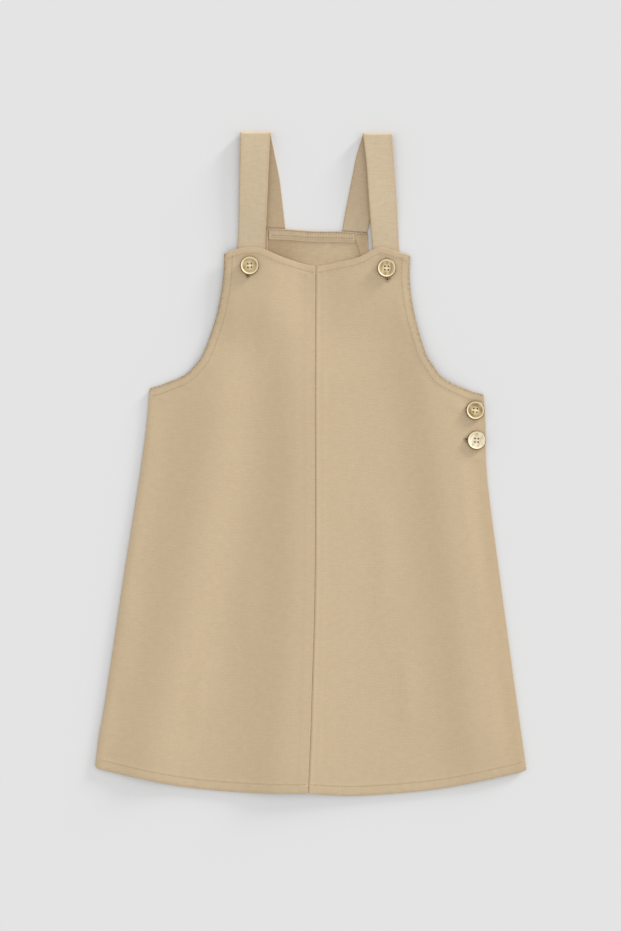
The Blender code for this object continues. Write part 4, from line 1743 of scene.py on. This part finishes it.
@dataclass(frozen=True)
class FrontHalf:
    """Half of the front, with its share of the seam, its hems, rows and buttonholes."""

    name: str
    hand: Hand
    hem: tuple[Point, ...]
    side: tuple[Point, ...]
    armhole: tuple[Point, ...]
    neck: tuple[Point, ...]
    lip: SeamLip
    slits: tuple[Slit, ...]

    def edges(self) -> dict[Edge, Path]:
        """Draw the edges of the cut.

        Returns:
            The edges, anticlockwise.
        """
        shift = self.hand.value * SEAM_GAP / 2.0
        hem = Path.through(self.hem).shifted(shift)
        seam = Path.through(CENTRE_SEAM).shifted(shift)
        neck = Path.through(self.neck).shifted(shift).flipped()
        side, armhole = Path.through(self.side), Path.through(self.armhole)
        if self.hand is Hand.LEFT:
            return {Edge.HEM: hem, Edge.SEAM: seam, Edge.NECK: neck,
                    Edge.ARMHOLE: armhole.flipped(), Edge.SIDE: side.flipped()}
        return {Edge.HEM: hem, Edge.SIDE: side, Edge.ARMHOLE: armhole, Edge.NECK: neck,
                Edge.SEAM: seam.flipped()}

    def build(self) -> None:
        """Make the half and what is sewn on it."""
        bands = tuple(Band(plan.edge, plan.away) for plan in FRONT_ROWS)
        half = ClothPiece(
            self.name + "_cloth", (self.name + "_panel",), self.edges(), front_rest,
            FRONT_FINISH, ("back_cloth",), bands=(*bands, self.lip), slits=self.slits,
            painted_shade=painted_front_shade)
        rows = Sewing(self.name + "_topstitching", half.upper)
        rows.rows(half, FRONT_ROWS)
        holes = Sewing(self.name + "_buttonholes", half.upper)
        for slit in self.slits:
            holes.buttonhole(slit)
        half.build(rows, holes)


FRONT_LEFT = FrontHalf(
    "front_left", Hand.LEFT, HEM_LEFT, SIDE_LEFT, ARMHOLE_LEFT, NECK_LEFT,
    SeamLip(Edge.SEAM, 0.04), (Slit("strap_left", (-59.5, 490.2), (-57.6, 509.4)),))
FRONT_RIGHT = FrontHalf(
    "front_right", Hand.RIGHT, HEM_RIGHT, SIDE_RIGHT, ARMHOLE_RIGHT, NECK_RIGHT,
    SeamLip(Edge.SEAM, 0.3, crest=1.5, fall=2.4),
    (
        Slit("strap_right", (72.7, 487.3), (71.4, 507.4)),
        Slit("side_upper", (147.4, 365.3), (162.2, 364.3)),
        Slit("side_lower", (145.7, 337.3), (162.4, 336.2)),
    ))


@dataclass(frozen=True)
class InnerHem:
    """A turned hem on the inner face of the back."""

    name: str
    thickness: float
    bands: Forms = ()
    # painted shade for the hem's upper face, or none
    painted_shade: Surface | None = None

    def edges(self) -> dict[Edge, Path]:
        """Return the edges of the cut, anticlockwise."""
        raise NotImplementedError

    def build(self) -> None:
        """Make the hem, with its row and the row at the roots of the straps."""
        hem = ClothPiece(
            self.name + "_cloth", (self.name,), self.edges(), on_back, INNER_FINISH,
            ("back_cloth",), thickness=self.thickness, corner=0.5, rim=0.5, grid=1.4,
            under_grid=3.0, boundary_gap=0.8, bands=self.bands, painted_shade=self.painted_shade)
        sewing = Sewing(self.name + "_stitching", hem.upper, radius=0.36, finish=NECK_THREAD)
        if self.bands:
            sewing.rows(hem, (NECK_HEM_ROW,))
        line = hem.edges[ROOT_ROW.edge].moved(ROOT_ROW.away, ROOT_ROW.gap).points
        line = line[hem.from_edge(line) > ROOT_ROW.inset]
        sewing.row(Path(line), ROOT_ROW.pitch, ROOT_ROW.share)
        hem.build(sewing)


@dataclass(frozen=True)
class ArmholeHem(InnerHem):
    """A turned hem at the top of an armhole of the back."""

    armhole: tuple[Point, ...] = ()
    hand: Hand = Hand.LEFT
    width_top: float = 10.0
    width_low: float = 10.0
    flare: Span = (0.0, 1.0)  # the heights over which it widens

    def edge_x(self, y: np.ndarray | float) -> np.ndarray:
        """Return the x of the armhole's edge at a height."""
        line = Path.through(self.armhole).points
        return np.interp(y, line[:, 1], line[:, 0])

    def inner_x(self, y: np.ndarray | float) -> np.ndarray:
        """Return the x of the hem's inner edge at a height."""
        width = self.width_low + (self.width_top - self.width_low) * smooth_step(*self.flare, y)
        return self.edge_x(y) + self.inward * width

    @property
    def inward(self) -> float:
        """The way from the armhole to the middle of the dress, as 1 or -1."""
        return -self.hand.value

    @property
    def top(self) -> float:
        """The height of the hem's upper end."""
        return self.armhole[-1].y - HEM_SETBACK

    def edges(self) -> dict[Edge, Path]:
        """Draw the edges of the cut.

        Returns:
            The edges, anticlockwise.
        """
        heights = np.linspace(HEM_FOOT, self.top, 30)
        outer = np.column_stack([self.edge_x(heights) + self.inward * HEM_SETBACK, heights])
        inner = np.column_stack([self.inner_x(heights), heights])
        right, left = (inner, outer) if self.inward > 0.0 else (outer, inner)
        return {Edge.HEM: Path(np.array([left[0], right[0]])), Edge.SIDE: Path(right),
                Edge.NECK: Path(np.array([right[-1], left[-1]])),
                Edge.OTHER_SIDE: Path(left).flipped()}


ARMHOLE_HEMS = (
    ArmholeHem("back_armhole_hem_left", 0.94, (), painted_strap_shade, BACK_ARMHOLE_LEFT,
               Hand.LEFT, 10.0, 9.6, (512.0, 534.0)),
    ArmholeHem("back_armhole_hem_right", 0.94, (), painted_strap_shade, BACK_ARMHOLE_RIGHT,
               Hand.RIGHT, 12.8, 7.6, (508.0, 532.0)),
)


@dataclass(frozen=True)
class NeckHem(InnerHem):
    """The turned hem along the top edge of the back, between the armhole hems."""

    def edges(self) -> dict[Edge, Path]:
        """Draw the edges of the cut.

        Returns:
            The edges, anticlockwise.
        """
        top_x, top_y = Path.through(BACK_TOP).points.T
        lines = []
        for drop in (HEM_SETBACK + NECK_HEM_DEPTH, HEM_SETBACK):
            ends = []
            for hem in ARMHOLE_HEMS:
                x = hem.armhole[-1].x + hem.inward * hem.width_top
                y = min(float(np.interp(x, top_x, top_y)) - drop, hem.top)
                ends.append(float(hem.inner_x(y)) + hem.inward * HEM_MEETING)
            x = np.linspace(*ends, 60)
            lines.append(np.column_stack([x, np.interp(x, top_x, top_y) - drop]))
        low, high = lines
        return {Edge.HEM: Path(low), Edge.SIDE: Path(np.array([low[-1], high[-1]])),
                Edge.NECK: Path(high).flipped(),
                Edge.OTHER_SIDE: Path(np.array([high[0], low[0]]))}


NECK_HEM = NeckHem("back_neck_hem", 0.9, (
    Band(Edge.NECK, NECK_HEM_ROW.away, rise=0.05, groove=0.14, ripple=0.1, ripple_length=9.0),
    Band(Edge.HEM, 0.8, rise=-0.36, groove=0.0, ripple=0.0)))


@dataclass(frozen=True)
class Back:
    """The back, with the hems that show at its top edge."""

    name: str = "back"
    grid: float = 4.0
    under_grid: float = 3.2

    def edges(self) -> dict[Edge, Path]:
        """Draw the edges of the cut, just inside the front's outline.

        Returns:
            The edges, anticlockwise.
        """
        hem = Path(np.vstack([Path.through(HEM_LEFT).points[:-1],
                              Path.through(HEM_RIGHT).points]))
        ends = hem.points[:, 0] / np.abs(hem.points[:, 0]).max()
        sides, arms = [], []
        for side_table, arm_table, inward in ((SIDE_LEFT, BACK_ARMHOLE_LEFT, INNER_EDGE),
                                              (SIDE_RIGHT, BACK_ARMHOLE_RIGHT, -INNER_EDGE)):
            side, arm = Path.through(side_table), Path.through(arm_table)
            above = side.points[:, 1] - side.points[0, 1]
            rise = INNER_EDGE * smooth_step(INNER_EDGE_RISE, 0.0, above)
            sides.append(side.shifted(inward, rise))
            share = arm.places / arm.length
            arms.append(arm.shifted(inward * smooth_step(1.0, 0.0, share)))
        return {Edge.HEM: hem.shifted(-INNER_EDGE * ends, INNER_EDGE), Edge.SIDE: sides[1],
                Edge.ARMHOLE: arms[1], Edge.NECK: Path.through(BACK_TOP).flipped(),
                Edge.OTHER_ARMHOLE: arms[0].flipped(), Edge.OTHER_SIDE: sides[0].flipped()}

    def build(self) -> None:
        """Make the back, its hems and what is sewn on them."""
        under = tuple(Band(plan.edge, plan.away, ripple=0.0, rise=0.12, groove=0.3)
                      for plan in BACK_ROWS)
        panel = ClothPiece(
            "back_cloth", ("back_panel",), self.edges(), back_rest, INNER_FINISH, ("floor",),
            thickness=BACK_WALL, grid=self.grid, under_grid=self.under_grid, under_bands=under,
            painted_shade=painted_neck_shade)
        rows = Sewing("back_outer_stitching", panel.lower, Face.LOWER)
        rows.rows(panel, BACK_ROWS)
        panel.build(rows)
        for hem in (NECK_HEM, *ARMHOLE_HEMS):
            hem.build()


class StrapRow(NamedTuple):
    """A strap's two edges at one place, with the heights of its lower face there."""

    name: str
    x_out: float
    y_out: float
    rest_out: float
    x_in: float
    y_in: float
    rest_in: float


@dataclass(frozen=True)
class Strap:
    """A doubled shoulder strap: its back leg, its fold and its front leg."""

    name: str
    back_leg: tuple[StrapRow, ...]
    front_leg: tuple[StrapRow, ...]
    fold_gap: float = 3.4
    thickness: float = 1.1
    leg_steps: int = 90
    fold_steps: int = 14
    across_steps: int = 22
    edge_share: float = 0.02  # of the width, over which each edge is rounded
    edge_steps: tuple[float, ...] = (0.0, 0.18, 0.5, 0.82)
    end_rounding: float = 0.6
    hollow: float = 0.1  # how much thinner the middle is, as a share
    hollow_power: float = 0.6
    waver: float = 0.05  # how much the thickness changes along it
    waver_length: float = 9.0
    # painted shade on the strap's inner face, which shows on its back leg
    painted_shade_share: float = 1.0

    def leg(self, rows: tuple[StrapRow, ...]) -> np.ndarray:
        """Work out a leg.

        Args:
            rows: Its table.

        Returns:
            Its sections, each with the two edges at mid wall.
        """
        turn, half = self.fold_gap / 2.0 + STRAP_WALL, STRAP_WALL / 2.0
        knots = []
        for row in rows:
            setback = turn if row.name == "fold" else 0.0
            knots.append((row.x_out, row.y_out - setback, row.rest_out + half,
                          row.x_in, row.y_in - setback, row.rest_in + half))
        path = Path.smooth(knots)
        return path.at(np.linspace(0.0, path.length, self.leg_steps + 1))

    def sections(self) -> np.ndarray:
        """Work out the whole strap.

        Returns:
            All sections from the root to the hidden end.
        """
        back, front = self.leg(self.back_leg), self.leg(self.front_leg)
        start, end = back[-1], front[0]
        radius = (end[2] - start[2]) / 2.0
        turn = []
        for share in np.arange(1, self.fold_steps) / self.fold_steps:
            angle = math.pi * (share - 0.5)
            section = start + (end - start) * share
            section[[1, 4]] += radius * math.cos(angle)
            section[[2, 5]] = start[2] + radius * (1.0 + math.sin(angle))
            turn.append(section)
        return np.vstack([back, turn, front])

    def profile(self) -> np.ndarray:
        """Draw a section.

        Returns:
            Its outline, as rows of the share across and the height in half walls.
        """
        edge, share = self.edge_share, np.linspace(0.0, 1.0, self.across_steps)
        steps = np.array(self.edge_steps) * edge
        share = np.concatenate([steps, edge + share * (1.0 - 2.0 * edge), 1.0 - steps[::-1]])
        inside = np.clip(np.minimum(share, 1.0 - share) / edge, 0.0, 1.0)
        height = np.sqrt(1.0 - (1.0 - inside) ** 2)
        height = height * (1.0 - self.hollow * np.sin(math.pi * share) ** self.hollow_power)
        upper = np.column_stack([share, height])
        return np.vstack([upper, upper[-2:0:-1] * (1.0, -1.0)])

    def build(self) -> None:
        """Make the strap."""
        sections, profile = self.sections(), self.profile()
        middle = (sections[:, :3] + sections[:, 3:]) / 2.0
        places = Path(middle).places
        run = np.gradient(middle, axis=0)
        normal = np.column_stack([np.zeros(len(run)), -run[:, 2], run[:, 1]])
        normal /= np.linalg.norm(normal, axis=1)[:, None]
        normal *= -1.0 if normal[0, 2] < 0.0 else 1.0
        share, height = profile[None, :, 0, None], profile[None, :, 1, None]
        near = np.minimum(places, places[-1] - places) / self.end_rounding
        round_end = np.sqrt(1.0 - (1.0 - np.clip(near, 0.05, 1.0)) ** 2)[:, None, None]
        waver = 1.0 + self.waver * np.sin(places / self.waver_length)[:, None, None]
        points = sections[:, None, :3] * (1.0 - share) + sections[:, None, 3:] * share
        points = points + normal[:, None] * height * round_end * waver * self.thickness / 2.0
        points = points.reshape(-1, 3)
        mesh = new_mesh(self.name + "_cloth", in_frame(points[:, :2], points[:, 2]),
                        tube_faces(1, len(sections), len(profile)))
        widths = np.linalg.norm(sections[:, :3] - sections[:, 3:], axis=1)
        across = np.tile(profile[:, 0] * widths[0], len(sections))
        along = np.repeat(places, len(profile))
        keep(mesh, "grain", np.column_stack([across, along, np.zeros(len(along))]))
        # painted shade along the strap's two edges
        keep(mesh, "painted_edge_shade_mask", swell_at(np.minimum(across, widths[0] - across), PAINTED_EDGE_SHADE_REACH, 1))
        # painted shade on the inner face, which lies up on the back leg
        keep(mesh, "inner", np.tile(self.painted_shade_share * (profile[:, 1] > 0.0), len(sections)))
        piece = shown_piece(self.name + "_cloth", mesh, LIT_STRAP_FINISH, (self.name,))


STRAP_LEFT = Strap(
    "strap_left",
    (
        StrapRow("root", -50.0, 537.2, 0.0, -24.1, 536.4, 0.0),
        StrapRow("low", -52.0, 554.0, 0.0, -26.0, 553.7, 0.0),
        StrapRow("middle", -56.0, 582.0, 0.0, -29.3, 581.8, 0.0),
        StrapRow("high", -61.0, 605.0, 0.0, -33.7, 605.0, 0.0),
        StrapRow("fold", -66.6, FOLD_Y, 0.0, -37.8, FOLD_Y, 0.0),
    ),
    (
        StrapRow("fold", -66.6, FOLD_Y, 4.6, -38.4, FOLD_Y, 4.6),
        StrapRow("high", -67.0, 600.0, 4.7, -39.5, 600.0, 5.3),
        StrapRow("middle", -67.9, 563.0, 4.0, -41.1, 563.0, 5.2),
        StrapRow("over_back_edge", -68.3, 537.0, 3.0, -42.3, 537.0, 4.2),
        StrapRow("bib_edge", -69.4, 516.0, 2.2, -43.2, 516.0, 2.8),
        StrapRow("end", -70.8, 482.5, 2.2, -44.8, 482.5, 2.8),
    ))
STRAP_RIGHT = Strap(
    "strap_right",
    (
        StrapRow("root", 53.6, 532.9, 0.0, 29.7, 534.2, 0.0),
        StrapRow("low", 58.5, 553.0, 0.0, 33.1, 553.7, 0.0),
        StrapRow("middle", 67.0, 586.0, 0.0, 39.5, 586.8, 0.0),
        StrapRow("high", 71.5, 606.0, 0.0, 43.6, 606.8, 0.0),
        StrapRow("fold", 76.6, FOLD_Y - 1.0, 0.0, 48.9, FOLD_Y - 1.0, 0.0),
    ),
    (
        StrapRow("fold", 76.7, FOLD_Y - 1.0, 4.6, 49.4, FOLD_Y - 1.0, 4.6),
        StrapRow("high", 78.8, 596.0, 4.0, 52.6, 596.0, 5.1),
        StrapRow("middle", 81.2, 562.0, 2.6, 54.9, 562.0, 4.6),
        StrapRow("past_back_leg", 82.3, 540.0, 1.5, 56.6, 540.0, 3.0),
        StrapRow("bib_edge", 83.6, 516.0, 0.6, 58.5, 516.0, 0.9),
        StrapRow("end", 85.3, 480.5, 0.5, 60.4, 480.5, 0.6),
    ),
    painted_shade_share=0.5)


# ---- buttons ----

def turned(profile: Sequence[Sequence[float]], sides: int, x: float = 0.0,
           y: float = 0.0) -> np.ndarray:
    """Turn a profile round an upright line.

    Args:
        profile: The radius and the height of each ring.
        sides: How many points are on a ring.
        x: Where the line stands across.
        y: Where it stands along.

    Returns:
        The points, ring after ring.
    """
    turns = 2.0 * math.pi * np.arange(sides) / sides
    rings = [np.column_stack([x + radius * np.cos(turns), y + radius * np.sin(turns),
                              np.full(sides, height)]) for radius, height in profile]
    return np.vstack(rings)


@dataclass(frozen=True)
class Button:
    """A four-hole button with a raised rim, sewn on through its holes."""

    name: str
    x: float
    y: float
    turn: float
    finish: HornFinish
    foot: float = 7.2
    hole: float = 0.82
    spacing: float = 3.25
    floor: float = 1.58
    segments: int = 96
    hole_sides: int = 24
    shank_sides: int = 20
    thread: float = 0.16
    thread_apart: float = 0.17
    thread_sides: int = 8
    thread_rings: int = 13
    arch: float = 0.34  # how far the threads rise above the dish
    dip: float = 1.2  # how far their ends go down the holes
    sharp: float = 50.0  # the least angle of an edge that stays sharp, in degrees

    # radius and height of the turned outline, from the foot to the middle of the dish
    PROFILE = ((7.2, 0.0), (7.9, 0.2), (8.6, 0.75), (8.98, 1.5), (8.85, 2.1), (8.45, 2.55),
               (8.05, 2.7), (7.65, 2.58), (7.35, 2.25), (7.05, 1.92), (6.5, 1.74),
               (5.2, 1.62), (3.0, 1.58), (0.6, 1.58))
    SHANK = ((1.3, -1.15), (1.5, -0.9), (1.2, -0.5), (1.35, -0.1), (1.2, 0.25), (0.6, 0.4))

    def blank(self) -> bpy.types.Object:
        """Return the button's body without its holes."""
        rings = Path.smooth(self.PROFILE, 3).points
        return linked("button_blank", new_mesh(
            "button_body", turned(rings, self.segments) * MM,
            tube_faces(1, len(rings), self.segments)))

    def spools(self) -> bpy.types.Object:
        """Make what cuts the holes.

        Returns:
            Four spools, wider at the dish and at the foot.
        """
        spool = ((1.5, -0.35), (self.hole, 0.25), (self.hole, self.floor - 0.28),
                 (self.hole + 0.2, self.floor + 0.03), (1.6, self.floor + 0.4))
        ways = (-self.spacing / 2.0, self.spacing / 2.0)
        points = np.vstack([turned(spool, self.hole_sides, x, y) for x in ways for y in ways])
        return linked("button_spools", new_mesh(
            "button_spools", points * MM, tube_faces(4, len(spool), self.hole_sides)))

    def body(self) -> bpy.types.Mesh:
        """Make the button's body with its four holes, the first time.

        Returns:
            A copy of its mesh.
        """
        if "button" not in bpy.data.meshes:
            blank, spools = self.blank(), self.spools()
            cut = blank.modifiers.new("holes", "BOOLEAN")
            cut.operation, cut.solver, cut.object = "DIFFERENCE", "EXACT", spools
            graph = bpy.context.evaluated_depsgraph_get()
            bpy.data.meshes.new_from_object(blank.evaluated_get(graph)).name = "button"
            for item in (blank, spools):
                bpy.data.objects.remove(item)
        return bpy.data.meshes["button"].copy()

    def seat(self) -> Matrix:
        """Set the button on the slope of the cloth.

        Returns:
            Where it lies.
        """
        centre, reach = np.array([[self.x, self.y]]), self.foot
        ways = np.array([[reach, 0.0], [-reach, 0.0], [0.0, reach], [0.0, -reach]])
        east, west, north, south = solid_top(centre + ways)
        slope = np.array([east - west, north - south]) / (2.0 * reach)
        ring = turned(((reach, 0.0),), self.hole_sides)[:, :2]
        above = solid_top(centre + ring) - ring @ slope
        height = max(float(solid_top(centre)[0]), float(above.max())) + GAP
        up = Vector((*-slope, 1.0)).normalized()
        lean = Vector((0.0, 0.0, 1.0)).rotation_difference(up).to_matrix().to_4x4()
        spot = Matrix.Translation(in_frame(centre, np.array([height]))[0])
        return spot @ lean @ Matrix.Rotation(math.radians(self.turn), 4, "Z")

    def threads(self) -> bpy.types.Mesh:
        """Make the threads through the holes and the wound shank beneath.

        Returns:
            Their mesh.
        """
        half, rings, apart = self.spacing / 2.0, self.thread_rings, self.thread_apart
        share = np.arange(rings) / (rings - 1)
        arch = np.sin(math.pi * share).clip(0.0)
        x = (half - self.hole / 2.0) * (2.0 * share - 1.0)
        z = self.floor + self.arch * arch ** 0.45 - self.dip * (1.0 - arch ** 0.35)
        turns = 2.0 * math.pi * np.arange(self.thread_sides) / self.thread_sides
        points = []
        for y in (-half - apart, -half + apart, half - apart, half + apart):
            for x_here, z_here in zip(x, z):
                points.append(np.column_stack([
                    np.full(self.thread_sides, x_here), y + self.thread * np.cos(turns),
                    z_here + self.thread * np.sin(turns)]))
        first = 4 * rings * self.thread_sides
        faces = tube_faces(4, rings, self.thread_sides)
        faces += [tuple(corner + first for corner in face)
                  for face in tube_faces(1, len(self.SHANK), self.shank_sides)]
        points = np.vstack([*points, turned(self.SHANK, self.shank_sides)])
        return new_mesh(self.name + "_threads", points * MM, faces)

    def build(self) -> None:
        """Make the button and its threads."""
        seat, body = self.seat(), self.body()
        horn = shown_piece(self.name + "_horn", body, self.finish, (self.name,))
        body.set_sharp_from_angle(angle=math.radians(self.sharp))
        threads = shown_piece(self.name + "_threads", self.threads(), BUTTON_THREAD)
        for item in (horn, threads):
            item.matrix_world = seat


BUTTONS = (
    Button("button_strap_left", -57.7, 501.1, 4.0,
           HornFinish("horn_left", (206, 184, 134), (160, 134, 86), (240, 220, 180), 2.0)),
    Button("button_strap_right", 71.6, 498.8, -3.0,
           HornFinish("horn_right", (212, 190, 142), (166, 142, 98), (240, 220, 180), 5.3)),
    Button("button_side_upper", 155.4, 364.5, -8.0,
           HornFinish("horn_dark", (200, 178, 128), (146, 122, 76), (240, 219, 178), 8.1)),
    # painted glare: this button's colours are paler all over and in the middle, as the glare on
    # its glossy face
    Button("button_side_lower", 156.6, 336.2, -4.0,
           HornFinish("horn_painted_glare", (246, 238, 214), (200, 178, 130), (244, 230, 188), 11.4,
                      middle=(238, 224, 192), cloud=0.3)),
)


# ---- studio ----

@dataclass(frozen=True)
class Studio:
    """The floor, the light and the camera."""

    name: str = "studio"
    floor_half: float = 6000.0
    floor_drop: float = 0.05
    world_strength: float = 0.875
    world_colour: Colour = (255, 255, 255)
    key_strength: float = 2.82
    key_height: float = 8.0
    key_way: float = 45.0
    key_size: float = 12.0
    lens: float = 85.0
    sensor: float = 36.0
    view_length: float = 881.66
    view: Spot = (-0.24, 312.34)
    clip: Span = (0.1, 20.0)  # in metres

    def floor(self) -> None:
        """Lay the floor."""
        corners = self.floor_half * np.array([[-1, -1], [1, -1], [1, 1], [-1, 1]])
        points = np.column_stack([corners, np.full(4, -self.floor_drop)]) * MM
        mesh = new_mesh("floor", points, [(0, 1, 2, 3)])
        mesh.materials.append(FLOOR_FINISH.material())
        linked("floor", mesh)

    def light(self) -> None:
        """Set the soft light all round and the key light from the upper right."""
        scene = bpy.context.scene
        scene.world = bpy.data.worlds.new("soft_white_room")
        scene.world.use_nodes = True
        background = scene.world.node_tree.nodes["Background"]
        background.inputs["Color"].default_value = linear(self.world_colour)
        background.inputs["Strength"].default_value = self.world_strength
        key = bpy.data.lights.new("key", "SUN")
        key.energy, key.angle = self.key_strength, math.radians(self.key_size)
        way, height = math.radians(self.key_way), math.radians(self.key_height)
        back = Vector((math.cos(way) * math.cos(height), math.sin(way) * math.cos(height),
                       math.sin(height)))
        lamp = linked("key", key)
        lamp.rotation_mode = "QUATERNION"
        lamp.rotation_quaternion = back.to_track_quat("Z", "Y")
        scene.view_settings.view_transform = "Standard"

    def camera(self) -> None:
        """Set the camera straight above the dress."""
        data = bpy.data.cameras.new("camera")
        data.lens, data.sensor_width = self.lens, self.sensor
        data.clip_start, data.clip_end = self.clip
        distance = self.view_length * self.lens / self.sensor
        camera = linked("camera", data)
        camera.location = in_frame(np.array([self.view]), np.array([distance]))[0]
        bpy.context.scene.camera = camera

    def build(self) -> None:
        """Make the whole studio."""
        self.floor()
        self.light()
        self.camera()


def main() -> None:
    """Make the studio and the dress, piece by piece."""
    logging.basicConfig(level=logging.INFO, format="%(name)s: %(message)s")
    for part in (Studio(), Back(), FRONT_LEFT, FRONT_RIGHT, STRAP_LEFT, STRAP_RIGHT, *BUTTONS):
        part.build()
        LOG.info("built %s", part.name)


if __name__ == "__main__":
    main()
